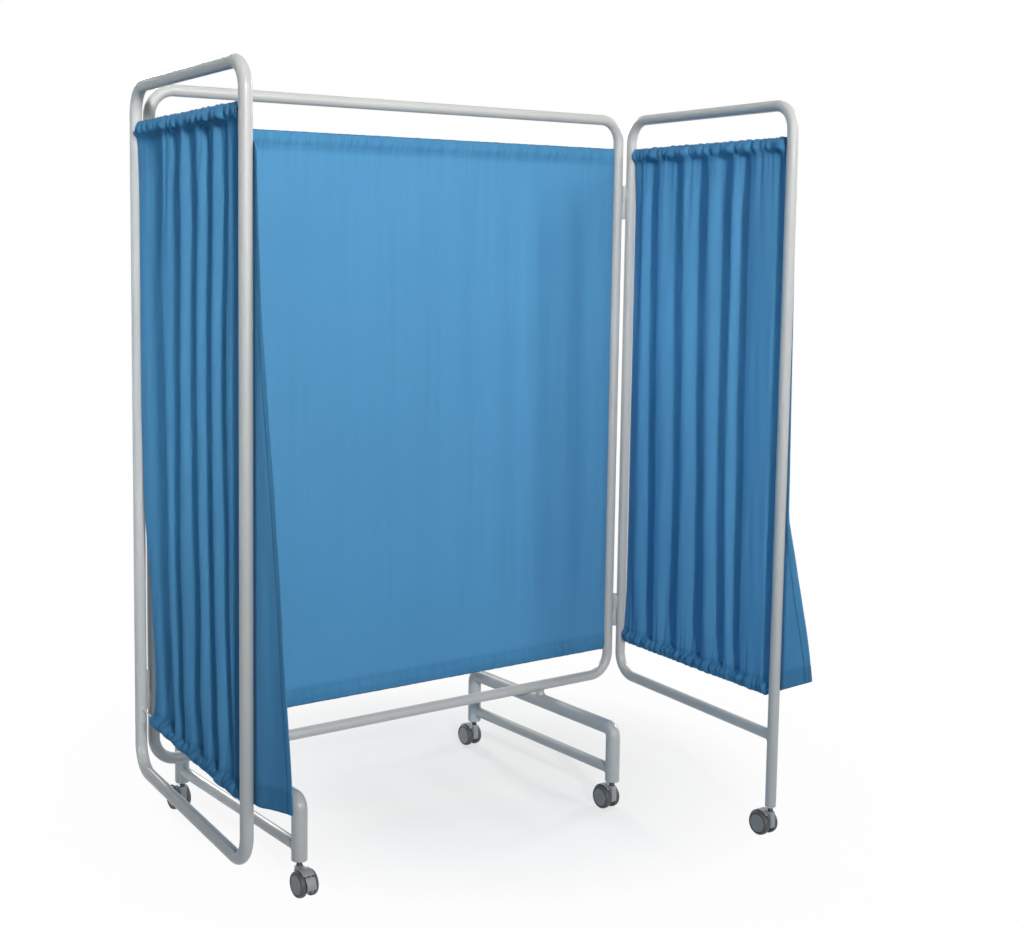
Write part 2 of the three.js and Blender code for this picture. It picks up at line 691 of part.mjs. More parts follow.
// A wing turns about its hinge line. Side is -1 for the left wing and 1 for the right.
function hingedWing(side, fold, parts) {
  const name = side < 0 ? 'left' : 'right';
  const postToHinge = side < 0 ? Math.PI + hingeTurn : -hingeTurn; // from the centre panel's post
  const pivot = new THREE.Group();
  pivot.position.set(
    side * centreWidth / 2 + postToPivot * Math.cos(postToHinge), postToPivot * Math.sin(postToHinge), 0);
  const wingPost = postToHinge - side * (fold - squareFold);
  for (const [level, height] of hingeHeights) {
    pivot.add(
      namedMesh(`${name}_${level}_hinge_frame_barrel`, hingeBarrel(height, false, postToHinge + Math.PI), paint),
      namedMesh(`${name}_${level}_hinge_wing_barrel`, hingeBarrel(height, true, wingPost), paint),
    );
  }
  const wing = new THREE.Group();
  wing.position.set(postToPivot * Math.cos(wingPost), postToPivot * Math.sin(wingPost), 0);
  wing.rotation.z = side < 0 ? Math.PI + fold : -fold;
  wing.add(...parts);
  pivot.add(wing);
  return pivot;
}

const leftRodHeight = bottomRailHeight + leftClothRise + casingHeight / 2;
const rightRodHeight = bottomRailHeight + rightClothRise + casingHeight / 2;
const leftCurtain = wingCurtain({
  rise: leftClothRise, valleyShares: leftValleyShares, flapReach: leftFlapReach, flapRise: leftFlapRise,
  flapTop: topRailHeight - leftFlapDrop, pull: leftPull,
});
const rightCurtain = wingCurtain({
  rise: rightClothRise, valleyShares: rightValleyShares, flapReach: rightFlapReach, flapRise: rightFlapRise,
  flapTop: topRailHeight - rightFlapDrop, pull: 0,
});
const leftWing = hingedWing(-1, leftFold, [
  namedMesh('left_wing_frame', loopFrame(wingWidth, leftRodHeight), paint),
  namedMesh('left_wing_top_rod', curtainRod(wingWidth, topRodHeight), steel),
  namedMesh('left_wing_bottom_rod', curtainRod(wingWidth, leftRodHeight), steel),
  namedMesh('left_wing_curtain', leftCurtain, cloth),
]);
const wingCaster = caster('right_wing_caster', wingWidth, 0, rightFold);
const rightWing = hingedWing(1, rightFold, [
  namedMesh('right_wing_frame', leggedFrame(wingWidth, rightRodHeight), paint),
  namedMesh('right_wing_top_rod', curtainRod(wingWidth, topRodHeight), steel),
  namedMesh('right_wing_bottom_rod', curtainRod(wingWidth, rightRodHeight), steel),
  namedMesh('right_wing_curtain', rightCurtain, cloth),
  wingCaster,
]);
screen.add(leftWing, rightWing);

// The origin is the middle of the footprint
const box = new THREE.Box3().setFromObject(screen, true);
const footprint = box.getCenter(new THREE.Vector3());
screen.position.set(-footprint.x, -footprint.y, -box.min.z);

const model = new THREE.Group();
model.add(screen);

export default model;
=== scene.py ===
# A folding ward screen on wheels: a wide centre panel on two feet, and a hinged wing on each side.
# Every length is in metres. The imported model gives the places; the pieces here give the finished shapes.

import json
import math

import bmesh
import bpy
import numpy as np
from mathutils import Matrix, Vector


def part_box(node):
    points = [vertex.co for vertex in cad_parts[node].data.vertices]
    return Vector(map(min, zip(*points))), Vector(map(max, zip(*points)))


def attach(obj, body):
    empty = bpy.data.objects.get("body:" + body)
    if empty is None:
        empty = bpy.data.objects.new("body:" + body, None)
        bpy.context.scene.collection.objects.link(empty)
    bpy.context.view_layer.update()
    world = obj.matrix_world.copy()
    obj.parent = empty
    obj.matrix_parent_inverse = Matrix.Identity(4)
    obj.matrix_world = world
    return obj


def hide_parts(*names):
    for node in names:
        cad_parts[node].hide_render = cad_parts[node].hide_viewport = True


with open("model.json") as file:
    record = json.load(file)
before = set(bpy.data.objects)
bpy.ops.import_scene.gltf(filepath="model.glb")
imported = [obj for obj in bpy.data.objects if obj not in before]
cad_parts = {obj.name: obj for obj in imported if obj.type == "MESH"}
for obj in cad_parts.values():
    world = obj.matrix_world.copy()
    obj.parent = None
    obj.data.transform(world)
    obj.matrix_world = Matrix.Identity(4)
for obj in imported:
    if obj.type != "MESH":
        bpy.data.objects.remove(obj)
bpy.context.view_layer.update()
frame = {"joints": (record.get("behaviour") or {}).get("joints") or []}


# The camera
# It stood in front of the left wing, a little below the top rails and turned to the right,
# and the picture was trimmed afterwards, so its middle is off the lens's axis.

panel_low, panel_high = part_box("centre_frame")
tube_radius = (panel_high.y - panel_low.y) / 2
panel_middle = Vector(((panel_low.x + panel_high.x) / 2, (panel_low.y + panel_high.y) / 2, 0))

camera_place = panel_middle + Vector((-1.98569, -2.92653, 1.34738))
camera_yaw, camera_pitch, camera_roll = 0.599, -0.100, 0.009
photo_width, photo_height = 1024, 928
camera_focus = 1526.5
lens_axis = (410.0, 396.04)


def placed(name, data):
    """A new object in the scene."""
    item = bpy.data.objects.new(name, data)
    bpy.context.scene.collection.objects.link(item)
    return item


camera_data = bpy.data.cameras.new("photo_camera")
camera = placed("photo_camera", camera_data)
bpy.context.scene.camera = camera
camera_data.sensor_fit = "HORIZONTAL"
camera_data.sensor_width = 36.0
camera_data.lens = camera_focus * camera_data.sensor_width / photo_width
camera_data.shift_x = (photo_width / 2 - lens_axis[0]) / photo_width
camera_data.shift_y = (lens_axis[1] - photo_height / 2) / photo_width
camera_data.clip_start, camera_data.clip_end = 0.05, 100.0

camera.matrix_world = (
    Matrix.Translation(camera_place) @ Matrix.Rotation(-camera_yaw, 4, "Z")
    @ Matrix.Rotation(math.pi / 2 + camera_pitch, 4, "X") @ Matrix.Rotation(camera_roll, 4, "Z"))


# The painted tube frames
# Round steel tube, bent cold in wide bends, welded, and powder coated in a light warm grey.
# The coat has a faint orange peel, and its colour and gloss drift a little over the length of a tube.

def shade(name, colour, roughness, metallic=0.0, specular=0.5, sheen=0.0, coat=0.0):
    """A material with its plain values on the shader, its node tree and the shader itself."""
    material = bpy.data.materials.new(name)
    material.use_nodes = True
    shader = material.node_tree.nodes["Principled BSDF"]
    for label, value in (("Base Color", (*colour, 1)), ("Roughness", roughness), ("Metallic", metallic),
                         ("Specular IOR Level", specular), ("Sheen Weight", sheen), ("Coat Weight", coat)):
        shader.inputs[label].default_value = value
    return material, material.node_tree, shader


def add_node(tree, kind, settings=None, **links):
    """Adds a node. A link is an input's name, with _ for spaces, or i and its number, and what goes in."""
    node = tree.nodes.new(kind)
    for key, value in (settings or {}).items():
        setattr(node, key, value)
    for key, value in links.items():
        numbered = key[0] == "i" and key[1:].isdigit()
        socket = node.inputs[int(key[1:]) if numbered else key.replace("_", " ")]
        if isinstance(value, bpy.types.NodeSocket):
            tree.links.new(value, socket)
        else:
            socket.default_value = value
    return node


def reckon(tree, operation, first, second):
    return add_node(tree, "ShaderNodeMath", {"operation": operation}, i0=first, i1=second).outputs[0]


def mottle(tree, where, scale, detail=3.0):
    return add_node(tree, "ShaderNodeTexNoise", Vector=where, Scale=scale, Detail=detail).outputs["Fac"]


def remap(tree, value, low, high, start=0.3, end=0.7):
    return add_node(
        tree, "ShaderNodeMapRange", {"clamp": True}, Value=value, From_Min=start, From_Max=end,
        To_Min=low, To_Max=high).outputs["Result"]


def tint(tree, share, first, second):
    return add_node(
        tree, "ShaderNodeMix", {"data_type": "RGBA"}, i0=share, i6=(*first, 1), i7=(*second, 1)).outputs[2]


def relief(tree, shader, height, strength, distance, below=None):
    """Raises the surface by a pattern, over the relief below it, and gives the way it then faces."""
    node = add_node(tree, "ShaderNodeBump", Height=height, Strength=strength, Distance=distance)
    if below is not None:
        tree.links.new(below, node.inputs["Normal"])
    tree.links.new(node.outputs["Normal"], shader.inputs["Normal"])
    return node.outputs["Normal"]


def object_place(tree):
    return add_node(tree, "ShaderNodeTexCoord").outputs["Object"]


def drift_colour(tree, shader, place, scale, first, second):
    patches = remap(tree, mottle(tree, place, scale), 0, 1)
    tree.links.new(tint(tree, patches, first, second), shader.inputs["Base Color"])


def drift_gloss(tree, shader, place, scale, low, high, detail=4.0):
    tree.links.new(remap(tree, mottle(tree, place, scale, detail), low, high), shader.inputs["Roughness"])


paint_grey = (0.494, 0.488, 0.466)
paint_shadow = (0.464, 0.460, 0.441)
tube_paint, tree, shader = shade("tube_paint", paint_grey, 0.36, coat=0.12)
place = object_place(tree)
drift_colour(tree, shader, place, 5.0, paint_grey, paint_shadow)
drift_gloss(tree, shader, place, 38.0, 0.30, 0.44, detail=3.0)
peel = relief(tree, shader, mottle(tree, place, 820.0, 1.0), 0.18, 0.0002)
relief(tree, shader, mottle(tree, place, 140.0, 2.0), 0.10, 0.0003, below=peel)

keep_sharp = math.radians(38)
vertical = Vector((0, 0, 1))


def around(count):
    return [2 * math.pi * k / count for k in range(count)]


def make_piece(name, points, faces, material):
    """A mesh object at the origin, in metres, smooth but for the edges where its faces turn steeply."""
    mesh = bpy.data.meshes.new(name)
    mesh.from_pydata([tuple(p) for p in points], [], faces)
    mesh.validate()
    shell = bmesh.new()
    shell.from_mesh(mesh)
    bmesh.ops.remove_doubles(shell, verts=shell.verts, dist=1e-6)
    bmesh.ops.recalc_face_normals(shell, faces=shell.faces)
    shell.to_mesh(mesh)
    shell.free()
    mesh.shade_smooth()
    mesh.set_sharp_from_angle(angle=keep_sharp)
    mesh.materials.append(material)
    return placed(name, mesh)


def joined(name, parts):
    """Joins pieces into one mesh object; each keeps its materials and its sharp edges."""
    mesh = bpy.data.meshes.new(name)
    whole = bmesh.new()
    materials = []
    for part in parts:
        start = len(whole.faces)
        whole.from_mesh(part.data)
        whole.faces.ensure_lookup_table()
        slots = []
        for material in part.data.materials:
            if material not in materials:
                materials.append(material)
            slots.append(materials.index(material))
        for face in whole.faces[start:]:
            face.material_index = slots[face.material_index]
    whole.to_mesh(mesh)
    whole.free()
    for material in materials:
        mesh.materials.append(material)
    for part in parts:
        bpy.data.objects.remove(part)
    return placed(name, mesh)


def bent_line(corners, bend_radius, steps, closed):
    """Points and directions along straight runs joined by round bends."""
    corners = [Vector(c) for c in corners]
    count = len(corners)
    points, directions = [], []
    for i, corner in enumerate(corners):
        before, after = corners[i - 1], corners[(i + 1) % count]
        if not closed and i in (0, count - 1):
            points.append(corner)
            directions.append((after - corner if i == 0 else corner - before).normalized())
            continue
        entry, leave = (corner - before).normalized(), (after - corner).normalized()
        turn = entry.angle(leave)
        inward = (leave - entry * math.cos(turn)).normalized()
        start = corner - entry * bend_radius * math.tan(turn / 2)
        for k in range(steps + 1):
            angle = turn * k / steps
            points.append(start + bend_radius * (inward * (1 - math.cos(angle)) + entry * math.sin(angle)))
            directions.append(entry * math.cos(angle) + inward * math.sin(angle))
    return points, directions


def ring_faces(ring_count, sides, closed):
    """The faces between rings of points, and the two end faces of an open row of rings."""
    faces = []
    for k in range(ring_count if closed else ring_count - 1):
        here, there = k * sides, (k + 1) % ring_count * sides
        faces += [(here + s, here + (s + 1) % sides, there + (s + 1) % sides, there + s)
                  for s in range(sides)]
    if not closed:
        faces += [tuple(range(sides - 1, -1, -1)), tuple(range((ring_count - 1) * sides, ring_count * sides))]
    return faces


def tube(name, corners, across, radius, bend_radius=0.0, closed=False, lips=(0, 0), sides=40, steps=14):
    """A bent tube; across stands square to its line's plane. A lip rounds an open end over its length."""
    points, directions = bent_line(corners, bend_radius, steps, closed)
    across, sizes = Vector(across), [radius] * len(points)
    lip_turns = [math.pi / 2 * k / 5 for k in range(5, -1, -1)]
    for lip, way in zip(lips, (1, -1)):
        if not lip:
            continue
        points, directions, sizes = points[::way], directions[::way], sizes[::way]
        rim = [points[0] + directions[0] * way * lip * (1 - math.sin(a)) for a in lip_turns]
        points = (rim + points[1:])[::way]
        directions = ([directions[0]] * len(rim) + directions[1:])[::way]
        sizes = ([radius - lip * (1 - math.cos(a)) for a in lip_turns] + sizes[1:])[::way]
    rings = []
    for point, along, size in zip(points, directions, sizes):
        inside = along.cross(across).normalized()
        rings += [point + (across * math.cos(a) + inside * math.sin(a)) * size for a in around(sides)]
    return make_piece(name, rings, ring_faces(len(points), sides, closed), tube_paint)


top_rail_height = panel_high.z - tube_radius
bottom_rail_height = panel_low.z + tube_radius
bend_radius = 0.055
post_left, post_right = panel_low.x + tube_radius, panel_high.x - tube_radius
panel_depth = panel_middle.y


def panel_of(post, along, width):
    """A panel: the foot of its first post, the way along its rails, the way through it, and its width."""
    return {"post": post, "along": along, "normal": vertical.cross(along), "width": width}


def panel_point(panel, u, z):
    return panel["post"] + panel["along"] * u + vertical * z


def closed_frame(name, panel):
    corners = [(0, bottom_rail_height), (panel["width"], bottom_rail_height),
               (panel["width"], top_rail_height), (0, top_rail_height)]
    return tube(name, [panel_point(panel, u, z) for u, z in corners],
                panel["normal"], tube_radius, bend_radius, closed=True)


panels = {"centre": panel_of(Vector((post_left, panel_depth, 0)), Vector((1, 0, 0)), post_right - post_left)}
centre_tube = closed_frame("centre_panel_tube", panels["centre"])
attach(centre_tube, "centre_panel")
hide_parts("centre_frame")


# The wing frames
# Each is a narrower frame of the same tube. The right one's outer post runs on down to a caster,
# so its bottom rail is cut to fit the post and welded to it; the left one hangs from its hinges alone.

wing_width = 0.588
leg_end_height = 0.070
wing_lip = 0.0022
rail_into_post = 0.002
barrel_radius = 0.005
post_to_pivot = tube_radius + 0.0003 + barrel_radius
hinge_turn = math.radians(20)
hinge_side = {"left_wing": math.pi + hinge_turn, "right_wing": -hinge_turn}
joint_place = {joint["name"]: Vector(joint["pos_m"]) for joint in frame["joints"]}
for side, name, fold in ((-1, "left_wing", math.radians(84)), (1, "right_wing", math.radians(96))):
    post_angle = hinge_side[name] - side * (fold - math.pi / 2)
    pivot = Vector((*joint_place[name + "_hinge"].xy, 0))
    post = pivot + post_to_pivot * Vector((math.cos(post_angle), math.sin(post_angle), 0))
    panels[name] = panel_of(post, Vector((side * math.cos(fold), -math.sin(fold), 0)), wing_width)
    panels[name].update(pivot=pivot, post_angle=post_angle)

bead_radius, bead_lift, bead_ripples = 0.0021, 0.00021, 24


def weld_bead(name, middle, along, branch_radius, main_radius):
    """The rippled bead where a small tube, running along a direction, meets an upright one."""
    along = Vector(along).normalized()
    side = along.cross(vertical).normalized()
    points, rings, sides = [], 120, 10
    for a in around(rings):
        out = vertical * math.cos(a) + side * math.sin(a)
        depth = math.sqrt(max(main_radius ** 2 - (branch_radius * math.sin(a)) ** 2, 1e-9))
        centre = Vector(middle) + out * (branch_radius + bead_lift) + along * (depth + bead_lift)
        size = bead_radius * (1 + 0.10 * math.cos(bead_ripples * a))
        points += [centre + (out * math.cos(t) + along * math.sin(t)) * size for t in around(sides)]
    return make_piece(name, points, ring_faces(rings, sides, True), tube_paint)


left_tube = closed_frame("left_wing_tube", panels["left_wing"])
right_panel = panels["right_wing"]
right_corners = [(wing_width, leg_end_height), (wing_width, top_rail_height), (0, top_rail_height),
                 (0, bottom_rail_height), (wing_width - rail_into_post, bottom_rail_height)]
right_tube = joined("right_wing_tube", [
    tube("right_wing_bent_tube", [panel_point(right_panel, u, z) for u, z in right_corners],
         right_panel["normal"], tube_radius, bend_radius, lips=(wing_lip, 0)),
    weld_bead("right_wing_rail_weld", panel_point(right_panel, wing_width, bottom_rail_height),
              -right_panel["along"], tube_radius, tube_radius),
])
for piece, body in ((left_tube, "left_wing"), (right_tube, "right_wing")):
    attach(piece, body)
    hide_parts(body + "_frame")


# The feet
# A thicker tube bent tight into a hoop with two legs, with a thinner stretcher welded low between them.
# A short flared riser, welded top and bottom, holds the centre panel's bottom rail just above each hoop.

leg_radius = 0.017
leg_bend = 0.020
leg_lip = 0.0026
hoop_height = 0.198
weld_reach = 0.004
riser_waist, riser_foot_flare, riser_top_flare = 0.0085, 0.0050, 0.0026
riser_sink, riser_foot_cap, riser_top_cap = 0.002, 0.006, 0.005


def turned(name, profile, middle, axis, material, sides=48):
    """A turned piece. Its profile lists radius and distance along the axis, closed, or from axis to axis."""
    axis = Vector(axis).normalized()
    first = axis.orthogonal().normalized()
    second = axis.cross(first)
    points = [Vector(middle) + axis * along + (first * math.cos(a) + second * math.sin(a)) * radius
              for radius, along in profile for a in around(sides)]
    closed = profile[0] == profile[-1]
    faces = ring_faces(len(profile), sides, closed)
    return make_piece(name, points, faces if closed else faces[:-2], material)


for side in ("left", "right"):
    low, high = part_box(side + "_foot_hoop")
    foot_x = (low.x + high.x) / 2
    front_y, rear_y = low.y + leg_radius, high.y - leg_radius
    hoop_corners = [(foot_x, front_y, leg_end_height), (foot_x, front_y, hoop_height),
                    (foot_x, rear_y, hoop_height), (foot_x, rear_y, leg_end_height)]
    hoop = tube(side + "_hoop_bent_tube", hoop_corners, (1, 0, 0), leg_radius, leg_bend,
                lips=(leg_lip, leg_lip), sides=48, steps=16)
    riser_foot, riser_top = hoop_height + leg_radius, bottom_rail_height - tube_radius
    flare = [(0.0, riser_foot - riser_foot_cap)]
    for share in np.linspace(0, 1, 13):
        pinch = riser_waist + riser_foot_flare * (1 - share) ** 2.2 + riser_top_flare * share ** 3
        flare.append((pinch, riser_foot - riser_sink + (riser_top - riser_foot + 2 * riser_sink) * share))
    flare.append((0.0, riser_top + riser_top_cap))
    riser = turned(side + "_foot_riser", flare, (foot_x, panel_depth, 0), vertical, tube_paint)
    hoop = joined(side + "_foot_tube", [hoop, riser])
    low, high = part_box(side + "_foot_stretcher")
    front_end, rear_end = (Vector((foot_x, y, (low.z + high.z) / 2)) for y in (front_y, rear_y))
    inset = Vector((0, weld_reach, 0))
    stretcher = joined(side + "_foot_stretcher_tube", [
        tube(side + "_stretcher_tube", [front_end + inset, rear_end - inset], (1, 0, 0), tube_radius),
        weld_bead(side + "_front_weld", front_end, (0, 1, 0), tube_radius, leg_radius),
        weld_bead(side + "_rear_weld", rear_end, (0, -1, 0), tube_radius, leg_radius),
    ])
    for piece, node in ((hoop, "_foot_hoop"), (stretcher, "_foot_stretcher")):
        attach(piece, "centre_panel")
        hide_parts(side + node)


# The hinges
# Lift-off hinges: two short barrels end to end on one pin, the lower welded to the centre panel's post
# and the upper to the wing's, each by a small web. They are painted over with the frames.

barrel_length = 0.0425
barrel_gap = 0.0003
barrel_chamfer = 0.0007
web_inset = 0.005
web_chamfer = 0.0012
web_side = [(0.002, 0.0040), (0.0062, 0.0034), (0.0105, 0.0062)]


def hinge_barrel(name, pivot, height, upward, post_angle):
    """A barrel that starts at the hinge's parting height, with the small web that joins it to its post."""
    sign = 1 if upward else -1
    low, high = sorted((height + sign * barrel_gap / 2, height + sign * barrel_length))
    rim = [(barrel_chamfer, 0.0), (0.2 * barrel_chamfer, 0.3 * barrel_chamfer), (0.0, barrel_chamfer)]
    profile = [(0.0, low)] + [(barrel_radius - inset, low + rise) for inset, rise in rim]
    profile += [(barrel_radius - inset, high - rise) for inset, rise in reversed(rim)] + [(0.0, high)]
    barrel = turned(name + "_tube", profile, pivot, vertical, tube_paint, sides=32)
    toward = Vector((math.cos(post_angle), math.sin(post_angle), 0))
    beside = vertical.cross(toward)
    outline = web_side + [(along, -half) for along, half in reversed(web_side)]
    low, high = low + web_inset, high - web_inset
    levels = ((low, 0.75), (low + web_chamfer, 1.0), (high - web_chamfer, 1.0), (high, 0.75))
    points = [pivot + toward * along + beside * half * share + vertical * z
              for z, share in levels for along, half in outline]
    web = make_piece(name + "_web", points, ring_faces(len(levels), len(outline), False), tube_paint)
    return joined(name, [barrel, web])


for name in ("left_wing", "right_wing"):
    for level_name in ("upper", "lower"):
        stem = f"{name.split('_')[0]}_{level_name}_hinge"
        low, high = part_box(stem + "_wing_barrel")
        for part, upward, angle, body in (
                ("frame_barrel", False, hinge_side[name] + math.pi, "centre_panel"),
                ("wing_barrel", True, panels[name]["post_angle"], name)):
            piece = hinge_barrel(f"{stem}_{part}_painted", panels[name]["pivot"],
                                 low.z - barrel_gap / 2, upward, angle)
            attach(piece, body)
            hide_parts(f"{stem}_{part}")


# The curtain rods
# Thin bright zinc-plated rods, sprung into small holes in the posts. They show only for a few
# millimetres between a curtain's casing and the post.

def zinc_plated(name, colour, smooth, cloud, grain, dull=None):
    """Zinc-plated steel: its gloss is a little cloudy, and its colour may drift to a duller one."""
    material, tree, shader = shade(name, colour, smooth, metallic=1.0)
    place = object_place(tree)
    if dull:
        drift_colour(tree, shader, place, 90.0, colour, dull)
    drift_gloss(tree, shader, place, cloud, smooth - 0.06, smooth + 0.12)
    relief(tree, shader, mottle(tree, place, grain, 2.0), 0.08, 0.0001)
    return material


rod_steel = zinc_plated("rod_zinc", (0.62, 0.63, 0.65), 0.30, 260.0, 1500.0)
rod_radius = 0.0015
rod_tip = 0.0005
rod_inset = 0.006

for stem, panel in panels.items():
    for place_name in ("top", "bottom"):
        node = f"{stem}_{place_name}_rod"
        low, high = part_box(node)
        length = panel["width"] - 2 * rod_inset
        rod = turned(node + "_zinc", [
            (0.0, 0.0), (rod_radius - rod_tip, 0.0), (rod_radius, rod_tip), (rod_radius, length - rod_tip),
            (rod_radius - rod_tip, length), (0.0, length)],
            panel_point(panel, rod_inset, (low.z + high.z) / 2), panel["along"], rod_steel, sides=20)
        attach(rod, "centre_panel" if stem == "centre" else stem)
        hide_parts(node)


# The curtain cloth
# A plain-woven polyester and cotton cloth in mid blue, fine and matt, with a faint slub along the warp. It is
# thin enough to let a little light through. Where it is turned over the rods and doubled, its deeper blue is
# painted shade, for the light that two layers let through less.

cloth_blue = (0.081, 0.282, 0.474)
cloth_pale = (0.093, 0.303, 0.503)
# The casings' deeper blue is painted shade: doubled cloth lets less light through.
cloth_casing_shade = (0.054, 0.212, 0.395)
light_through = (0.010, 0.230, 0.850)
share_through = 0.13
slub_stretch = (210.0, 9.0, 1.0)
thread_gap = 0.00055
curtain_cloth, tree, shader = shade("curtain_cloth", cloth_blue, 0.80, specular=0.20, sheen=0.02)
shader.inputs["Sheen Roughness"].default_value = 0.5
shader.inputs["Sheen Tint"].default_value = (0.55, 0.80, 1.0, 1)
flat_place = add_node(tree, "ShaderNodeTexCoord").outputs["UV"]
slub = add_node(tree, "ShaderNodeMapping", {"vector_type": "POINT"}, Vector=flat_place, Scale=slub_stretch)
slub_share = mottle(tree, slub.outputs["Vector"], 1.0, 2.0)
drift = mottle(tree, flat_place, 4.5)
patches = reckon(tree, "ADD", remap(tree, slub_share, 0.0, 0.4), remap(tree, drift, 0.0, 0.6))
# The mark of the turned casings pulls their colour towards that painted shade.
casing_shade_share = add_node(tree, "ShaderNodeAttribute", {"attribute_name": "casing"}).outputs["Fac"]
patches_and_casing_shade = reckon(tree, "SUBTRACT", patches, casing_shade_share)
colours = add_node(tree, "ShaderNodeValToRGB", Fac=remap(tree, patches_and_casing_shade, 0.0, 1.0, start=-1.0, end=1.0))
colours.color_ramp.elements[0].color = (*cloth_casing_shade, 1)
colours.color_ramp.elements[1].color = (*cloth_pale, 1)
colours.color_ramp.elements.new(0.5).color = (*cloth_blue, 1)
tree.links.new(colours.outputs["Color"], shader.inputs["Base Color"])
tree.links.new(remap(tree, drift, 0.80, 0.92), shader.inputs["Roughness"])
threads = [add_node(
    tree, "ShaderNodeTexWave", {"wave_type": "BANDS", "bands_direction": direction, "wave_profile": "SIN"},
    Vector=flat_place, Scale=1 / thread_gap / 3.1416 / 2, Distortion=0.6, Detail=1.0,
    Detail_Scale=900.0).outputs["Fac"] for direction in ("X", "Y")]
woven = relief(tree, shader, reckon(tree, "MULTIPLY", *threads), 0.35, 0.00012)
relief(tree, shader, slub_share, 0.20, 0.0002, below=woven)
through = add_node(tree, "ShaderNodeBsdfTranslucent", Color=(*light_through, 1))
thin = add_node(tree, "ShaderNodeMixShader", i0=share_through, i1=shader.outputs[0], i2=through.outputs[0])
tree.links.new(thin.outputs[0], tree.nodes["Material Output"].inputs["Surface"])

cloth_thickness = 0.0006
hem_height = 0.038
side_hem = 0.012
edge_columns = 5
casing_rows, body_rows = 12, 58
turned_rows = 2 * casing_rows - 1
top_seam, bottom_seam = turned_rows - 1, -turned_rows
puff_roundness = 0.62
rod_stand, edge_stand, seam_stand = 0.0021, 0.0003, 0.00045
rod_reach, seam_blend = 0.26, 0.36
scallop_height = 0.0022


def eased(x):
    x = np.clip(x, 0.0, 1.0)
    return x * x * (3 - 2 * x)


def cloth_rows(top, bottom):
    """The cloth's rows from the turned seam at the back, over the top, down and round the lower casing.

    Each row is its height, its layer (1 behind the rod, -1 before it, 0 between the casings), how far it
    is from its seam towards its turned edge, and which end it is at (1 at the top, -1 at the bottom)."""
    upper, lower = top - hem_height, bottom + hem_height
    shares = np.linspace(0, 1, casing_rows)
    rows = [(upper + hem_height * s, 1, s, 1) for s in shares]
    rows += [(upper + hem_height * s, -1, s, 1) for s in shares[::-1][1:]]
    even = np.linspace(0, 1, body_rows)
    spread = 0.5 * even + 0.5 * (0.5 - 0.5 * np.cos(np.pi * even))
    rows += [(upper + (lower - upper) * s, 0, 0.0, 0) for s in spread[1:-1]]
    rows += [(lower - hem_height * s, -1, s, -1) for s in shares]
    rows += [(lower - hem_height * s, 1, s, -1) for s in shares[::-1][1:]]
    return rows


def creases_across(rng, start, end, spacing, spread):
    """Where the creases stand, and how full the puff after each one is; a wide gap has a full puff."""
    places = [start]
    while places[-1] < end:
        places.append(places[-1] + spacing * rng.uniform(1 - 0.5 * spread, 1 + 0.6 * spread))
    widths = np.append(np.diff(places), spacing) / spacing
    return np.array(places), np.clip(widths, 0.4, 1.4) * rng.uniform(0.55, 1.0, len(places))


def puffs(u, creases, skew):
    """The gathers: 0 in a sharp crease, up to 1 on the round puff between two, which peaks at the skew."""
    places, fullness = creases
    k = np.clip(np.searchsorted(places, u, side="right") - 1, 0, len(places) - 2)
    phase = np.clip((u - places[k]) / (places[k + 1] - places[k]), 0, 1)
    phase = np.where(phase < skew, 0.5 * phase / skew, 0.5 + 0.5 * (phase - skew) / (1 - skew))
    return fullness[k] * np.sin(np.pi * phase) ** puff_roundness


def gathered(row, u, folds, gathers, ruffle, tuck, slant, run, skew):
    """How far the cloth stands off the frame's middle at a row, and how much its edge rises there.

    folds is the offset that the deep folds give at this row. Round the rod, the cloth has puffs that lean
    by the slant from seam to edge. Below the seam they turn into creases that die out along the run."""
    z, layer, share, end = row
    front, back = gathers["front"], gathers["back"]
    if layer == 0:
        above, below = gathers["upper"] - z, z - gathers["lower"]
        tucks = tuck * puffs(u, front, skew) * math.exp(-max(above, 0) / run)
        tucks = tucks + tuck * puffs(u, gathers["foot"], skew) * math.exp(-max(below, 0) / run)
        return folds - tucks, np.zeros_like(u)
    lines = front if end > 0 else gathers["foot"]
    at_seam = folds - tuck * puffs(u, lines, skew)
    lean = slant * float(eased(share))
    puffed = puffs(u + lean, lines if layer < 0 else back, skew)
    stand = edge_stand + rod_stand * math.exp(-((share - 0.5) / rod_reach) ** 2)
    swell = ruffle * math.sin(math.pi * share) ** 0.8
    loose = layer * (stand * (1 - share ** 6) + swell * puffed)
    blend = float(eased(share / seam_blend))
    scallop = end * scallop_height * (puffs(u + lean, lines, skew) - 0.5) * share ** 4
    return (1 - blend) * (at_seam + layer * seam_stand) + blend * loose, scallop


def cloth_grid(rows, line_at):
    """The grid of points that line_at gives, row by row, and the cloth's own lengths down and across it."""
    grid = np.array([line_at(row) for row in rows])
    runs = np.median(np.linalg.norm(np.diff(grid, axis=0), axis=2), axis=1)
    lengths = np.concatenate([[0], np.cumsum(runs)])
    middle = grid[len(rows) // 2]
    widths = np.concatenate([[0], np.cumsum(np.linalg.norm(np.diff(middle, axis=0), axis=1))])
    return grid, lengths, widths


def made_plain(piece):
    """Turns what a piece's modifier makes into its own plain, smooth mesh."""
    made = bpy.data.meshes.new_from_object(piece.evaluated_get(bpy.context.evaluated_depsgraph_get()))
    piece.modifiers.clear()
    piece.data = made
    made.name = piece.name
    made.shade_smooth()


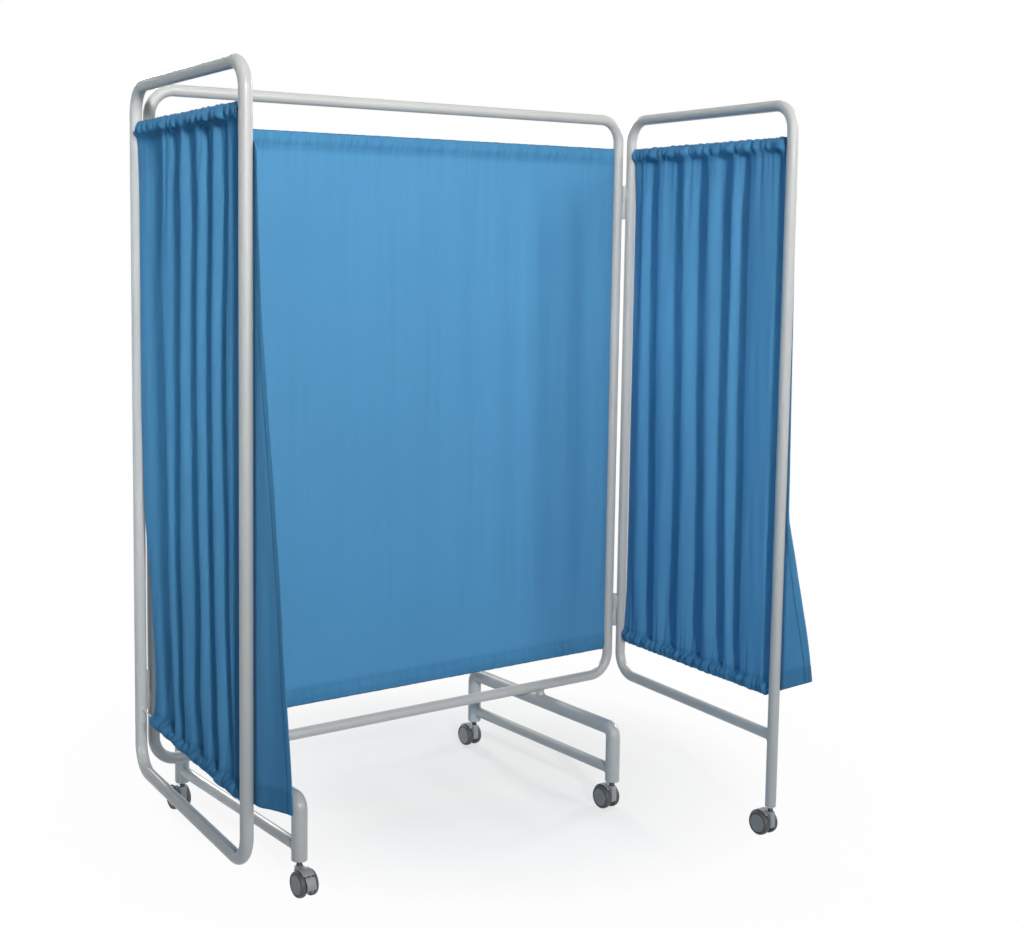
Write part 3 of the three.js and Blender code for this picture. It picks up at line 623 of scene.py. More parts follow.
def cloth_piece(name, grid, lengths, widths):
    """The grid as a thin closed sheet, with its flat place as its map and a mark on its turned casings for
    their painted shade.
    """
    row_count, column_count, _ = grid.shape
    index = np.arange(row_count * column_count).reshape(row_count, column_count)
    faces = np.stack([index[:-1, :-1], index[1:, :-1], index[1:, 1:], index[:-1, 1:]], axis=-1).reshape(-1, 4)
    mesh = bpy.data.meshes.new(name)
    mesh.from_pydata(grid.reshape(-1, 3).tolist(), [], faces.tolist())
    layer = mesh.uv_layers.new(name="flat_place")
    flat = np.stack(np.broadcast_arrays(widths[None, :], lengths[:, None]), axis=-1).reshape(-1, 2)
    layer.data.foreach_set("uv", flat[faces.reshape(-1)].astype(np.float32).reshape(-1))
    turned_cloth = np.zeros(row_count)
    turned_cloth[:turned_rows] = turned_cloth[-turned_rows:] = 1.0
    in_casing = mesh.attributes.new("casing", "FLOAT", "POINT")
    in_casing.data.foreach_set("value", np.repeat(turned_cloth, column_count).astype(np.float32))
    mesh.materials.append(curtain_cloth)
    piece = placed(name, mesh)
    body = piece.modifiers.new("thickness", "SOLIDIFY")
    body.thickness, body.offset = cloth_thickness, 0.0
    made_plain(piece)
    return piece


# The stitches
# Lockstitch in matching thread, a stitch every 3 mm, along each casing's seam and down the side hems.
# Each stitch is one long bead of thread that lies on the cloth.

sewing_thread, tree, shader = shade("sewing_thread", (0.040, 0.180, 0.360), 0.6, specular=0.3)
place = object_place(tree)
drift_colour(tree, shader, place, 300.0, (0.036, 0.165, 0.335), (0.055, 0.215, 0.410))
relief(tree, shader, mottle(tree, place, 4000.0, 1.0), 0.3, 0.0001)

stitch_row = tree = bpy.data.node_groups.new("stitch_row", "GeometryNodeTree")
tree.interface.new_socket("Geometry", in_out="INPUT", socket_type="NodeSocketGeometry")
for label, value in (("Spacing", 0.0032), ("Length", 0.0022), ("Thread radius", 0.00040)):
    tree.interface.new_socket(label, in_out="INPUT", socket_type="NodeSocketFloat").default_value = value
tree.interface.new_socket("Thread", in_out="INPUT", socket_type="NodeSocketMaterial")
tree.interface.new_socket("Geometry", in_out="OUTPUT", socket_type="NodeSocketGeometry")
given = tree.nodes.new("NodeGroupInput").outputs
seam = add_node(tree, "GeometryNodeMeshToCurve", Mesh=given["Geometry"]).outputs["Curve"]
spots = add_node(
    tree, "GeometryNodeCurveToPoints", {"mode": "LENGTH"}, Curve=seam, Length=given["Spacing"]).outputs
bead = add_node(tree, "GeometryNodeMeshUVSphere", Segments=6, Rings=4, Radius=given["Thread radius"])
stretch = reckon(tree, "MULTIPLY", reckon(tree, "DIVIDE", given["Length"], given["Thread radius"]), 0.5)
size = add_node(tree, "ShaderNodeCombineXYZ", X=1.0, Y=1.0, Z=stretch)
beads = add_node(
    tree, "GeometryNodeInstanceOnPoints", Points=spots["Points"], Rotation=spots["Rotation"],
    Instance=bead.outputs["Mesh"], Scale=size.outputs["Vector"])
real = add_node(tree, "GeometryNodeRealizeInstances", Geometry=beads.outputs["Instances"])
dressed = add_node(
    tree, "GeometryNodeSetMaterial", Geometry=real.outputs["Geometry"], Material=given["Thread"])
add_node(tree, "NodeGroupOutput", Geometry=dressed.outputs["Geometry"])
thread_input = next(item.identifier for item in tree.interface.items_tree if item.name == "Thread")
off_cloth = cloth_thickness / 2 + 0.0001


def stitched(name, lines, body, outward):
    """Stitches along lines of points, laid just off the cloth on the outward side."""
    points, edges = [], []
    for line in lines:
        start = len(points)
        points += [tuple(Vector(p) + outward * off_cloth) for p in line]
        edges += [(start + i, start + i + 1) for i in range(len(line) - 1)]
    mesh = bpy.data.meshes.new(name)
    mesh.from_pydata(points, edges, [])
    piece = placed(name, mesh)
    sewn = piece.modifiers.new("stitches", "NODES")
    sewn.node_group = stitch_row
    sewn[thread_input] = sewing_thread
    made_plain(piece)
    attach(piece, body)


# The centre curtain
# One width of the cloth, hardly gathered, stretched between the two rods. Fine puckers run from the
# casings, and a few shallow soft folds hang between them, deeper towards the right.

curtain_box = {name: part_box(name + "_curtain") for name in ("centre", "left_wing", "right_wing")}
curtain_top = curtain_box["centre"][1].z
seam_height = curtain_top - hem_height
post_clearance = 0.0012
soft_fold, soft_fold_width = 0.0020, 0.36
side_fold, side_fold_gain, side_fold_width = 0.0008, 0.0026, 0.118
edge_run, seam_run = 0.02, 0.20


def gather_lines(rng, lower, start, end, *spacings):
    """The creases of a curtain's gathers: in front of its top rod, behind both, and in front at the foot."""
    lines = {"upper": seam_height, "lower": lower}
    for row, (spacing, spread) in zip(("front", "back", "foot"), spacings):
        lines[row] = creases_across(rng, start, end, spacing, spread)
    return lines


def ripples(u, z, width, height, sway):
    """A faint unevenness: many slanting waves laid over each other."""
    return sum(np.sin(2 * np.pi * ((0.6 + i * 0.13) * u / width + (i % 3 - 1) * z / height) + sway[i, 0])
               for i in range(9)) / 3


def on_panel(panel, u, n, z):
    """A row of points on a panel: how far along it, how far through it, and how high."""
    x, y = (panel["post"][i] + panel["along"][i] * u + panel["normal"][i] * n for i in (0, 1))
    return np.stack([x, y, z], axis=-1)


def centre_curtain():
    """Returns the curtain, and the grid of points that its stitches follow."""
    rng = np.random.default_rng(11)
    panel, bottom = panels["centre"], curtain_box["centre"][0].z
    width, lower = panel["width"], bottom + hem_height
    start, end = tube_radius + post_clearance, width - tube_radius - post_clearance
    u = np.linspace(start, end, 440)
    gathers = gather_lines(rng, lower, start, end, (0.019, 1.3), (0.030, 1.0), (0.019, 1.3))
    edge = eased((u - start) / edge_run) * eased((end - u) / edge_run)
    rightward = eased((u - 0.42 * width) / (0.5 * width))
    sway = rng.uniform(0, 2 * np.pi, (9, 2))

    def line_at(row):
        z = row[0]
        inside = float(eased((seam_height - z) / seam_run) * eased((z - lower) / seam_run))
        swell = soft_fold * np.sin(2 * np.pi * (u / soft_fold_width + 0.10 * math.sin(z * 3.0)))
        wave = np.sin(2 * np.pi * (u / side_fold_width + 0.10 * np.sin(z * 2.1 + u * 4)) + 0.7)
        swell += (side_fold + side_fold_gain * rightward) * wave + 0.0004 * ripples(u, z, 0.05, 0.7, sway)
        n, rise = gathered(row, u, swell * (0.12 + 0.88 * inside), gathers,
                           ruffle=0.0036, tuck=0.0015, slant=-0.004, run=0.05, skew=0.5)
        return on_panel(panel, u, n * (0.25 + 0.75 * edge), z + 0.3 * rise)

    grid, lengths, widths = cloth_grid(cloth_rows(curtain_top, bottom), line_at)
    return cloth_piece("centre_curtain_cloth", grid, lengths, widths), grid


centre_cloth, centre_grid = centre_curtain()
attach(centre_cloth, "centre_panel")
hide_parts("centre_curtain")
stitched("centre_curtain_stitches", [centre_grid[top_seam], centre_grid[bottom_seam]],
         "centre_panel", -panels["centre"]["normal"])


# The wing curtains
# A wider cloth gathered on each pair of rods, so that it hangs in upright folds that start as tight
# slanting ruffles round the rod. The edge beyond the outer post hangs loose behind it and flares out.

left_folds = {
    "seed": 3,
    "slant": 0.024,
    "behind_start": 0.520,
    "flap_turn": 0.30,
    "flat": (0.84, 1.36),
    "free_edge": ([0.34, 0.403, 0.678, 0.956, 1.235, 1.50, seam_height],
                  [0.694, 0.690, 0.664, 0.643, 0.619, 0.603, 0.5735]),
    "inner_edge": ([0.36, 0.446, 0.608, 0.811, 1.0], [0.098, 0.096, 0.068, 0.026, 0.0145]),
    "hem": ([0.0, 0.516, 0.616, 0.694], [0.347, 0.345, 0.350, 0.359]),
    "heights": [0.345, 0.415, 0.510, 0.664, 0.854, 1.047, 1.237, 1.423, 1.547],
    "valleys": [
        [0.214, 0.212, 0.204, 0.184, 0.176, 0.168, 0.146, 0.153, 0.150],
        [0.276, 0.278, 0.280, 0.271, 0.260, 0.272, 0.275, 0.276, 0.262],
        [0.374, 0.372, 0.364, 0.370, 0.360, 0.353, 0.356, 0.364, 0.350],
        [0.458, 0.455, 0.446, 0.437, 0.430, 0.427, 0.428, 0.435, 0.428],
        [0.522, 0.520, 0.515, 0.505, 0.499, 0.487, 0.492, 0.508, 0.500]],
    "start": 0.10,
    "depths": [1.45, 1.1, 1.15, 1.0, 0.8],
    "crests": [0.10, 0.9, 1.1, 0.95, 0.8, 0.5],
    "rise": [0.08, 0.30, 0.22, 0.26, 0.30, 0.3],
    "hold": [0.02, 0.04, 0.06, 0.05, 0.04, 0.1],
    "fall": [0.84, 0.50, 0.56, 0.54, 0.50, 0.5],
    "minor": [(0.196, 0.55, 0.009, 1.30, 1), (0.148, 0.6, 0.010, 0.60, -1), (0.067, 0.25, 0.012, 0.75, -1),
              (0.315, 0.45, 0.008, 1.36, 1), (0.400, 0.45, 0.008, 1.33, 1), (0.470, 0.40, 0.007, 1.38, 1)],
}
right_folds = {
    "seed": 5,
    "slant": 0.010,
    "behind_start": 0.538,
    "flap_turn": 0.58,
    "flat": (0.80, 1.38),
    "free_edge": ([0.32, 0.386, 0.473, 0.559, 0.647, 0.740, 1.50, seam_height],
                  [0.653, 0.646, 0.637, 0.627, 0.616, 0.600, 0.586, 0.5735]),
    "inner_edge": ([0.0], [0.0145]),
    "hem": ([0.0, 0.56, 0.655], [0.320, 0.324, 0.374]),
    "heights": [0.320, 0.392, 0.491, 0.737, 0.979, 1.218, 1.454, 1.547],
    "valleys": [
        [0.126, 0.126, 0.126, 0.120, 0.114, 0.108, 0.106, 0.104],
        [0.220, 0.218, 0.218, 0.223, 0.217, 0.207, 0.204, 0.200],
        [0.317, 0.318, 0.318, 0.311, 0.304, 0.294, 0.294, 0.290],
        [0.404, 0.403, 0.402, 0.391, 0.384, 0.388, 0.384, 0.384],
        [0.463, 0.460, 0.458, 0.455, 0.451, 0.447, 0.447, 0.446]],
    "start": 0.3,
    "depths": [0.95, 0.85, 0.95, 1.0, 0.95],
    "crests": [0.55, 0.8, 0.9, 0.9, 0.9, 1.0],
    "rise": [0.45, 0.24, 0.26, 0.28, 0.30, 0.18],
    "hold": [0.02, 0.10, 0.04, 0.05, 0.04, 0.10],
    "fall": [0.46, 0.60, 0.58, 0.58, 0.56, 0.72],
    "minor": [(0.045, 0.50, 0.010, 1.05, 1), (0.157, 0.45, 0.009, 1.25, 1), (0.240, 0.45, 0.008, 1.30, 1),
              (0.345, 0.45, 0.009, 1.28, 1), (0.050, 0.40, 0.010, 0.56, -1), (0.179, 0.45, 0.009, 0.58, -1),
              (0.284, 0.45, 0.009, 0.56, -1)],
}
crest_height = 0.0115
valley_depth = 0.0190
fold_turn = 0.545
flap_start = 0.600
flap_offset = 0.0155
flap_turn_top, flap_turn_run = 1.42, 0.75
behind_run, past_seam_run = 0.044, 0.035
loose_start, loose_run = 0.606, 0.05
flutter, flutter_gap, edge_kick = 0.0042, 0.024, 0.0035
flutter_top, flutter_run = 1.3, 0.8
post_reach = 0.022
calm_start, calm_run = 0.560, 0.02
minor_run = 0.16
casing_edge = 0.5725
front_gathers, back_gathers, foot_gathers = (0.0155, 1.3), (0.018, 1.0), (0.0165, 1.2)


def fold_offset(u, z, folds, inner, reach):
    """The deep folds at one height: each rises steeply to its crest and falls back more slowly."""
    valleys = [float(np.interp(z, folds["heights"], track)) for track in folds["valleys"]]
    stops = np.array([inner] + valleys + [fold_turn + 0.02])
    deep = np.array([folds["start"]] + folds["depths"] + [0.0]) * valley_depth * reach
    crest = np.array(folds["crests"]) * crest_height * reach
    k = np.clip(np.searchsorted(stops, u, side="right") - 1, 0, len(stops) - 2)
    phase = np.clip((u - stops[k]) / (stops[k + 1] - stops[k]), 0, 1)
    rise, hold, fall = (np.array(folds[part])[k] for part in ("rise", "hold", "fall"))
    lift = np.minimum(eased(phase / rise), 1 - eased((phase - rise - hold) / fall))
    n = np.where(phase < rise, deep[k], deep[k + 1]) * (1 - lift) - crest[k] * lift
    for place, share, width, limit, way in folds["minor"]:
        within = float(eased(way * (z - limit) / minor_run))
        n = n + share * crest_height * reach * within * np.exp(-((u - place) / width) ** 2)
    kernel = np.array([0.06, 0.24, 0.40, 0.24, 0.06])
    return np.convolve(np.pad(n, 2, mode="edge"), kernel, mode="valid")


def wing_curtain(side, folds):
    """Returns the curtain with its side hem, and the grids of points that its stitches follow."""
    panel, bottom = panels[side], curtain_box[side][0].z
    rng = np.random.default_rng(folds["seed"])
    lower = bottom + hem_height
    gathers = gather_lines(rng, lower, -0.03, 0.60, front_gathers, back_gathers, foot_gathers)
    body_share = np.linspace(0, 1, 345)
    flap_share = np.linspace(0, 1, 42)[1:]
    hem_share = np.linspace(1, 0, edge_columns + 1)[1:]
    sway = rng.uniform(0, 2 * np.pi, (9, 2))

    def line_at(row):
        z, layer, _, end = row
        held_z = min(max(z, lower), seam_height)
        inner = float(np.interp(held_z, *folds["inner_edge"]))
        edge = casing_edge if z > seam_height - 0.002 else float(np.interp(z, *folds["free_edge"]))
        main = inner + (fold_turn - inner) * body_share
        flap = fold_turn + (edge - side_hem - fold_turn) * flap_share
        u = np.concatenate([main, flap, edge - side_hem * hem_share])
        reach = 0.50 + 0.50 * float(eased((seam_height - held_z) / 0.11) * eased((held_z - lower) / 0.10))
        deep = fold_offset(u, held_z, folds, inner, reach)
        past_seam = float(eased((seam_height - z) / past_seam_run))
        behind = eased((u - folds["behind_start"]) / behind_run) * past_seam
        deep = deep * (1 - behind) + flap_offset * behind
        turned_share = float(eased((flap_turn_top - z) / flap_turn_run))
        deep = deep + folds["flap_turn"] * np.maximum(u - flap_start, 0) * turned_share
        loose = eased((u - loose_start) / loose_run) * past_seam
        sway_low = eased((flutter_top - z) / flutter_run)
        sway_out = flutter * np.sin((u - flap_start) / flutter_gap + z * 1.3) * sway_low
        deep += loose * (sway_out + edge_kick * eased((u - edge + loose_run) / loose_run))
        near_post = np.exp(-((u - wing_width) / post_reach) ** 2)
        still = (1 - 0.9 * near_post) * (0.15 + 0.85 * eased((u - inner) / 0.012))
        deep += still * 0.0005 * ripples(u, z, 0.04, 0.4, sway)
        calm = 1 - eased((u - calm_start) / calm_run) if end <= 0 else 1.0
        slant = folds["slant"] if end > 0 else folds["slant"] * 0.3
        n, rise = gathered(row, u, deep, gathers,
                           ruffle=0.0115, tuck=0.0034, slant=slant, run=0.055, skew=0.26)
        if end <= 0:
            n = deep + (n - deep) * calm if layer == 0 else n * calm + (deep + layer * 0.0006) * (1 - calm)
        low = float(eased((lower + 0.30 - z) / 0.30))
        return on_panel(panel, u, n, z + (np.interp(u, *folds["hem"]) - bottom) * low + rise * calm)

    name = side + "_curtain_cloth"
    grid, lengths, widths = cloth_grid(cloth_rows(curtain_top, bottom), line_at)
    hem = grid[:, -edge_columns - 1:] - np.array(panel["normal"]) * (cloth_thickness * 1.1)
    cloth = joined(name, [
        cloth_piece(name + "_body", grid, lengths, widths),
        cloth_piece(name + "_side_hem", hem, lengths, widths[-edge_columns - 1:]),
    ])
    return cloth, grid, hem


for side, folds in (("left_wing", left_folds), ("right_wing", right_folds)):
    cloth, grid, hem = wing_curtain(side, folds)
    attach(cloth, side)
    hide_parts(side + "_curtain")
    stitched(side + "_curtain_stitches", [grid[top_seam], grid[bottom_seam], hem[top_seam:bottom_seam, 0]],
             side, -panels[side]["normal"])


# The casters
# Twin-wheel casters on zinc-plated stems: a grey plastic hood between and over two soft grey treads with
# flush hub discs. The front left one trails forwards and carries a brake pedal on a pin in its hood.

wheel_radius = 0.0275
caster_trail = 0.020
hood_inner, hood_outer = 0.0286, 0.0310
fender_half, fender_edge = 0.0135, 0.0011
fender_rear, braked_rear, fender_front, web_end = 2, 50, 130, -26
web_half, web_edge, web_reach = 0.007, 0.0012, 0.0279
slot_half, slot_edge = 0.0042, 0.0006
core_half, core_edge, core_reach = 0.0048, 0.0002, 0.0189
pedal_inner, pedal_outer = 0.0287, 0.0317
pedal_tip, neck_tip, pedal_root = -8, 24, 37
pedal_half, pedal_edge = 0.011, 0.0011
neck_half, neck_edge = 0.004, 0.0004
pedal_pin = (0.0235, 38)
pedal_opening = math.radians(8)


def moulded(name, colour, worn, smooth, grain, bumps):
    """A moulded plastic or rubber: its colour drifts a little, and its skin has a fine spark-eroded grain."""
    material, tree, shader = shade(name, colour, smooth)
    place = object_place(tree)
    drift_colour(tree, shader, place, 55.0, colour, worn)
    drift_gloss(tree, shader, place, 140.0, smooth - 0.06, smooth + 0.08)
    relief(tree, shader, mottle(tree, place, grain, 2.0), bumps, 0.0002)
    return material


tread_rubber = moulded("tread_rubber", (0.072, 0.072, 0.071), (0.090, 0.090, 0.088), 0.50, 900.0, 0.20)
hub_grey = moulded("hub_grey", (0.235, 0.236, 0.231), (0.260, 0.260, 0.254), 0.46, 1400.0, 0.14)
hood_grey = moulded("hood_grey", (0.325, 0.327, 0.323), (0.350, 0.351, 0.345), 0.38, 1300.0, 0.12)
neck_black = moulded("neck_black", (0.022, 0.022, 0.023), (0.030, 0.030, 0.031), 0.45, 1200.0, 0.12)

stem_zinc = zinc_plated("stem_zinc", (0.60, 0.61, 0.63), 0.32, 320.0, 1700.0, dull=(0.52, 0.53, 0.54))


def in_metres(*pairs):
    return [(first / 1000, second / 1000) for first, second in pairs]


def round_axle(radius, degrees):
    """A point in the caster's own upright plane, by its distance and direction from the wheels' axle."""
    angle = math.radians(degrees)
    return caster_trail + radius * math.cos(angle), wheel_radius + radius * math.sin(angle)


def axle_arc(radius, start, end, steps):
    return [round_axle(radius, start + (end - start) * k / steps) for k in range(steps + 1)]


def bent_bar(inner, outer, start, end, arc_steps, end_steps):
    """The outline of a bar bent round the axle, from one direction to another, with round ends."""
    half = (outer - inner) / 2
    outline = []
    for radius, first, last, turned_by in ((outer, start, end, 0), (inner, end, start, math.pi)):
        y, z = round_axle((inner + outer) / 2, last)
        angles = [math.radians(last) + turned_by + math.pi * k / end_steps for k in range(1, end_steps)]
        outline += axle_arc(radius, first, last, arc_steps)
        outline += [(y + half * math.cos(a), z + half * math.sin(a)) for a in angles]
    return outline


def slab(name, outline, place, start, end, rounding):
    """A side outline, in the caster's own upright plane, carried across from start to end; edges rounded."""
    count = len(outline)
    area = sum(outline[i][0] * outline[(i + 1) % count][1] - outline[(i + 1) % count][0] * outline[i][1]
               for i in range(count))
    sign = 1 if area > 0 else -1
    inward = []
    for i in range(count):
        before, here, after = (Vector(outline[(i + k) % count]) for k in (-1, 0, 1))
        first, second = (here - before).normalized(), (after - here).normalized()
        normals = [Vector((-d.y, d.x)) * sign for d in (first, second)]
        middle = (normals[0] + normals[1]) / 2
        inward.append(middle / max(middle.length_squared, 0.35))
    quarter = [math.pi / 2 * k / 4 for k in range(5)]
    layers = [(start + rounding * (1 - math.cos(a)), rounding * (1 - math.sin(a))) for a in quarter]
    layers += [(start + end - x, inset) for x, inset in reversed(layers)]
    points = [place @ Vector((x, y + way.x * inset, z + way.y * inset))
              for x, inset in layers for (y, z), way in zip(outline, inward)]
    return make_piece(name, points, ring_faces(len(layers), count, False), hood_grey)


def caster_wheel(name, middle, axis):
    tread = turned(name + "_tread", in_metres(
        (3.2, 8.0), (23.0, 8.0), (23.7, 8.15), (26.1, 8.3), (27.0, 8.9), (27.45, 10.0), (27.5, 12.5),
        (27.45, 15.2), (27.1, 17.2), (26.4, 18.9), (25.3, 20.2), (24.1, 20.85), (23.1, 21.0), (22.3, 20.9),
        (21.8, 20.5), (21.5, 19.8), (21.4, 18.4), (3.2, 18.4), (3.2, 8.0)),
        middle, axis, tread_rubber, sides=72)
    disc = turned(name + "_hub_disc", in_metres(
        (0.0, 18.55), (20.6, 18.55), (20.7, 20.0), (20.55, 20.5), (20.15, 20.85), (19.6, 20.95),
        (19.0, 20.85), (18.4, 20.6), (17.0, 20.5), (8.0, 20.3), (0.0, 20.25)),
        middle, axis, hub_grey, sides=72)
    return tread, disc


def hood(name, place, stem_foot, braked):
    """The hood: a bent fender over both treads, a web between them, and the boss that the stem turns in."""
    rear = braked_rear if braked else fender_rear
    fender = bent_bar(hood_inner, hood_outer, rear, fender_front, 40, 6)
    parts = [slab(name + "_fender", fender, place, -fender_half, fender_half, fender_edge)]
    front = in_metres((-5.0, 20.6), (-8.0, 21.6), (-9.3, 24.5), (-9.9, 32.0), (-9.8, 41.0), (-9.1, 50.0),
                      (-8.3, 56.0), (-7.6, 58.4), (-6.5, 59.1), (7.4, 59.1))
    front += axle_arc(hood_outer - 0.0004, 98, rear, 16)
    foot = in_metres((12.0, 14.0), (2.0, 19.0))
    web = front + axle_arc(web_reach, rear, web_end, 14) + in_metres((44.4, 14.2)) + foot
    if braked:
        core = front + axle_arc(core_reach, rear, web_end, 12) + in_metres((36.8, 14.2)) + foot
        parts += [slab(name + "_left_web", web, place, -web_half, -slot_half, slot_edge),
                  slab(name + "_right_web", web, place, slot_half, web_half, slot_edge),
                  slab(name + "_core", core, place, -core_half, core_half, core_edge)]
    else:
        parts.append(slab(name + "_web", web, place, -web_half, web_half, web_edge))
    parts.append(turned(name + "_boss", in_metres(
        (0.0, 51.0), (6.5, 51.0), (8.2, 52.6), (8.8, 54.4), (8.7, 57.4), (8.3, 58.6), (7.6, 59.1),
        (5.6, 59.2), (0.0, 59.2)), stem_foot, vertical, hood_grey))
    return joined(name, parts)


def brake_pedal(name, place, across):
    """The pedal, held open: a bent tongue on a neck, and the lug that turns on the pin in the hood."""
    pivot_place = round_axle(*pedal_pin)
    tongue = bent_bar(pedal_inner, pedal_outer, pedal_tip, pedal_root, 24, 5)
    neck = [pivot_place] + axle_arc((pedal_inner + pedal_outer) / 2, neck_tip, pedal_root, 6)
    pivot = Matrix.Translation((0, *pivot_place))
    opened = place @ pivot @ Matrix.Rotation(pedal_opening, 4, "X") @ pivot.inverted()
    lug = turned(name + "_lug", in_metres(
        (0.0, -4.0), (3.7, -4.0), (4.0, -3.7), (4.0, 3.7), (3.7, 4.0), (0.0, 4.0)),
        place @ Vector((0, *pivot_place)), across, hood_grey, sides=28)
    return joined(name, [slab(name + "_tongue", tongue, opened, -pedal_half, pedal_half, pedal_edge),
                         slab(name + "_neck", neck, opened, -neck_half, neck_half, neck_edge), lug])


for name in ("front_left", "front_right", "rear_left", "rear_right", "right_wing"):
    stem = name + "_caster"
    braked = name == "front_left"
    low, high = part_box(stem + "_stem")
    stem_foot = Vector(((low.x + high.x) / 2, (low.y + high.y) / 2, 0))
    place = Matrix.Translation(stem_foot) @ Matrix.Rotation(math.pi if braked else 0, 4, "Z")
    axle_middle, across = place @ Vector((0, caster_trail, wheel_radius)), place.to_3x3() @ Vector((1, 0, 0))
    pieces = [
        (turned(stem + "_zinc_stem", in_metres(
            (0.0, 37.3), (4.4, 37.3), (5.0, 37.9), (5.0, 67.6), (7.5, 67.6), (8.0, 68.0), (8.0, 69.5),
            (7.6, 69.85), (5.0, 69.85), (5.0, 99.2), (4.5, 99.7), (0.0, 99.7)),
            stem_foot, vertical, stem_zinc, sides=40),
         "right_wing" if name == "right_wing" else "centre_panel", "_stem", "bright_steel"),
        (hood(stem + "_moulded_hood", place, stem_foot, braked), stem, "_hood", "hood_plastic"),
        (turned(stem + "_neck_ring", in_metres(
            (5.15, 59.3), (6.9, 59.3), (6.9, 60.2), (6.1, 61.2), (5.9, 66.4), (5.6, 67.0), (5.15, 67.0),
            (5.15, 59.3)), stem_foot, vertical, neck_black, sides=40), stem, None, "hood_plastic"),
        (turned(stem + "_axle_rod", in_metres(
            (0.0, -18.25), (2.7, -18.25), (3.0, -17.9), (3.0, 17.9), (2.7, 18.25), (0.0, 18.25)),
            axle_middle, across, stem_zinc, sides=28), stem, "_axle", "bright_steel"),
    ]
    for number, side in ((1, -1), (2, 1)):
        tread, disc = caster_wheel(f"{stem}_wheel_{number}_turned", axle_middle, across * side)
        pieces += [(tread, f"{stem}_wheel_{number}", f"_wheel_{number}", "tread"),
                   (disc, f"{stem}_wheel_{number}", f"_hub_cap_{number}", "hub_plastic")]
    if braked:
        pedal = brake_pedal(stem + "_moulded_pedal", place, across)
        pieces.append((pedal, stem + "_pedal", "_brake_pedal", "hood_plastic"))
    for piece, body, node, slot_name in pieces:
        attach(piece, body)
        if node:
            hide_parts(stem + node)


# The stage
# A floor that keeps the screen's soft shadow under and behind it and fades to plain white further off, in a
# white surround. A lamp high in front does most of the lighting, with weaker ones above and on every side.

def shown_plain(tree, rays):
    """1 for the rays that show the surround as it is: straight, in a gloss or through something clear."""
    seen = reckon(tree, "MAXIMUM", rays["Is Camera Ray"], rays["Is Glossy Ray"])
    return reckon(tree, "MAXIMUM", seen, rays["Is Transmission Ray"])


shadow_middle = (0.30, 0.35, 0.0)
fade_start, fade_edge, fade_end = 0.30, 0.80, 1.40
plain_start, plain_edge = 0.59, 0.97
floor_pale = (0.80, 0.775, 0.748)
floor_bounce = (0.50, 0.62, 0.73)
floor_white = bpy.data.materials.new("studio_floor")
floor_white.use_nodes = True
tree = floor_white.node_tree
tree.nodes.remove(tree.nodes["Principled BSDF"])
apart = add_node(tree, "ShaderNodeVectorMath", {"operation": "DISTANCE"},
                 i0=object_place(tree), i1=shadow_middle).outputs["Value"]
inner_fade = remap(tree, apart, plain_start, plain_edge, start=fade_start, end=fade_edge)
outer_fade = remap(tree, apart, 0.0, 1 - plain_edge, start=fade_edge, end=fade_end)
plainness = reckon(tree, "ADD", inner_fade, outer_fade)
rays = add_node(tree, "ShaderNodeLightPath").outputs
floor_colour = tint(tree, rays["Is Diffuse Ray"], floor_pale, floor_bounce)
lit = add_node(tree, "ShaderNodeBsdfDiffuse", Roughness=0.0, Color=floor_colour)
glow = add_node(tree, "ShaderNodeEmission", Color=(1, 1, 1, 1), Strength=1.0)
plain_share = reckon(tree, "MULTIPLY", shown_plain(tree, rays), plainness)
choose = add_node(tree, "ShaderNodeMixShader", i0=plain_share, i1=lit.outputs[0], i2=glow.outputs[0])
tree.links.new(choose.outputs[0], tree.nodes["Material Output"].inputs["Surface"])

floor_size = 60.0
floor_corners = [(x * floor_size, y * floor_size, 0) for x, y in ((-1, -1), (1, -1), (1, 1), (-1, 1))]
floor_mesh = bpy.data.meshes.new("studio_floor")
floor_mesh.from_pydata(floor_corners, [], [(0, 1, 2, 3)])
floor_mesh.materials.append(floor_white)
placed("studio_floor", floor_mesh)

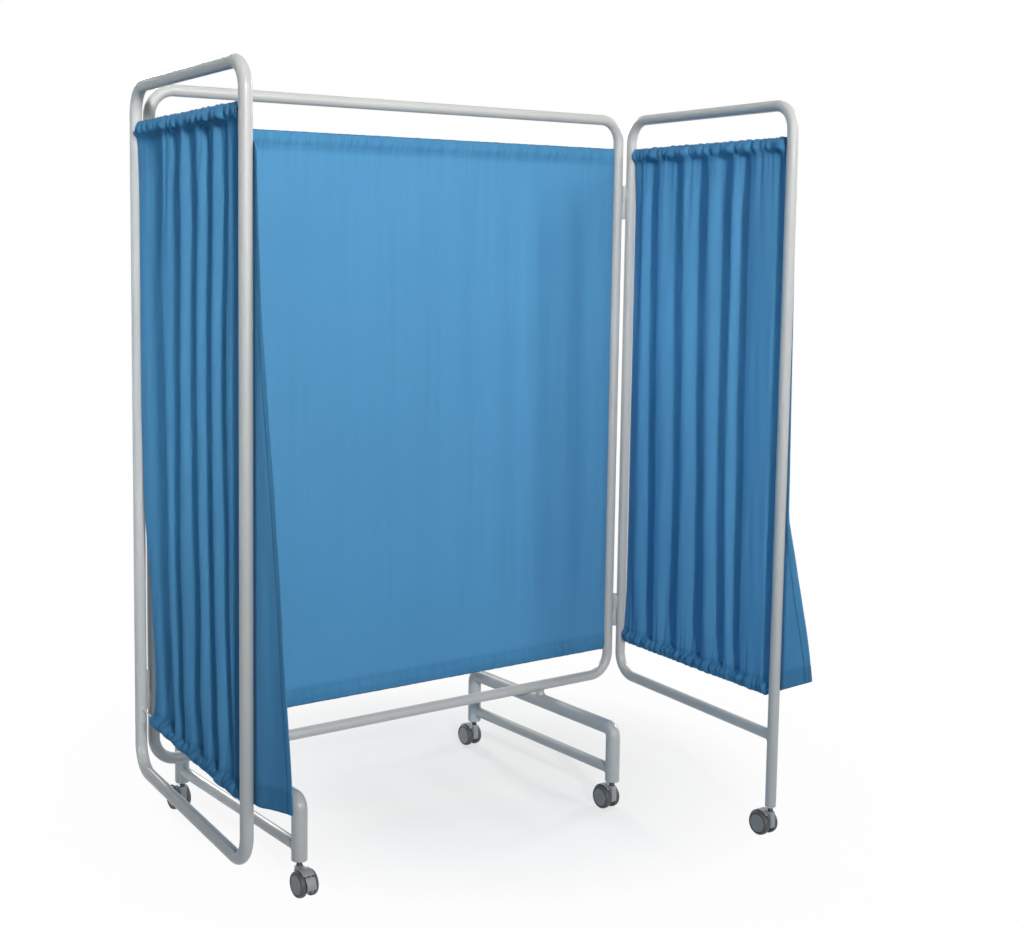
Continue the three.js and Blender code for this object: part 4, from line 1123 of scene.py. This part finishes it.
surround_light = 0.16
surround_tint = (0.45, 0.72, 1.0)
world = bpy.data.worlds.new("studio")
bpy.context.scene.world = world
world.use_nodes = True
tree = world.node_tree
seen = shown_plain(tree, add_node(tree, "ShaderNodeLightPath").outputs)
background = tree.nodes["Background"]
tree.links.new(tint(tree, seen, surround_tint, (1, 1, 1)), background.inputs["Color"])
tree.links.new(remap(tree, seen, surround_light, 1.0, start=0.0, end=1.0), background.inputs["Strength"])


def lamp(name, place, aim, size, power, colour, spread=180):
    data = bpy.data.lights.new(name, "AREA")
    data.shape, data.size, data.size_y, data.energy = "RECTANGLE", size[0], size[1], power
    data.color = colour
    data.spread = math.radians(spread)
    item = placed(name, data)
    item.location = place
    item.rotation_mode = "QUATERNION"
    item.rotation_quaternion = (Vector(aim) - Vector(place)).to_track_quat("-Z", "Y")
    item.visible_camera = False


lamp("key_light", (-3.1, -8.4, 4.2), (-0.15, 0, 1.85), (0.8, 0.7), 33, (1.0, 0.985, 0.965), spread=35)
lamp("right_light", (2.4, -5.9, 3.2), (0.1, 0, 1.9), (1.2, 1.8), 14, (1.0, 0.985, 0.96), spread=60)
lamp("top_light", (0.0, -1.2, 6.0), (0, 0, 0), (1.6, 1.6), 18, (1.0, 1.0, 1.0))
lamp("left_light", (-5.2, -1.0, 3.3), (-0.66, 0.10, 1.15), (0.8, 0.8), 1.05, (0.74, 0.90, 1.0), spread=16)
lamp("edge_light", (-5.2, -1.0, 1.9), (-0.66, 0.34, 1.1), (0.25, 2.2), 0.55, (0.90, 0.96, 1.0), spread=6)
lamp("wing_light", (-6.0, -5.0, 3.6), (0.74, -0.10, 1.30), (0.3, 1.2), 0.66, (0.90, 0.96, 1.0), spread=8)
lamp("back_light", (1.8, 7.6, 3.6), (0, 0.30, 0.90), (1.6, 1.6), 22, (1.0, 0.99, 0.97), spread=40)
lamp("side_light", (6.5, 0.6, 3.0), (0.65, 0.0, 0.95), (1.2, 1.4), 7.5, (1.0, 0.99, 0.97), spread=30)

bpy.context.scene.view_settings.view_transform = "Standard"
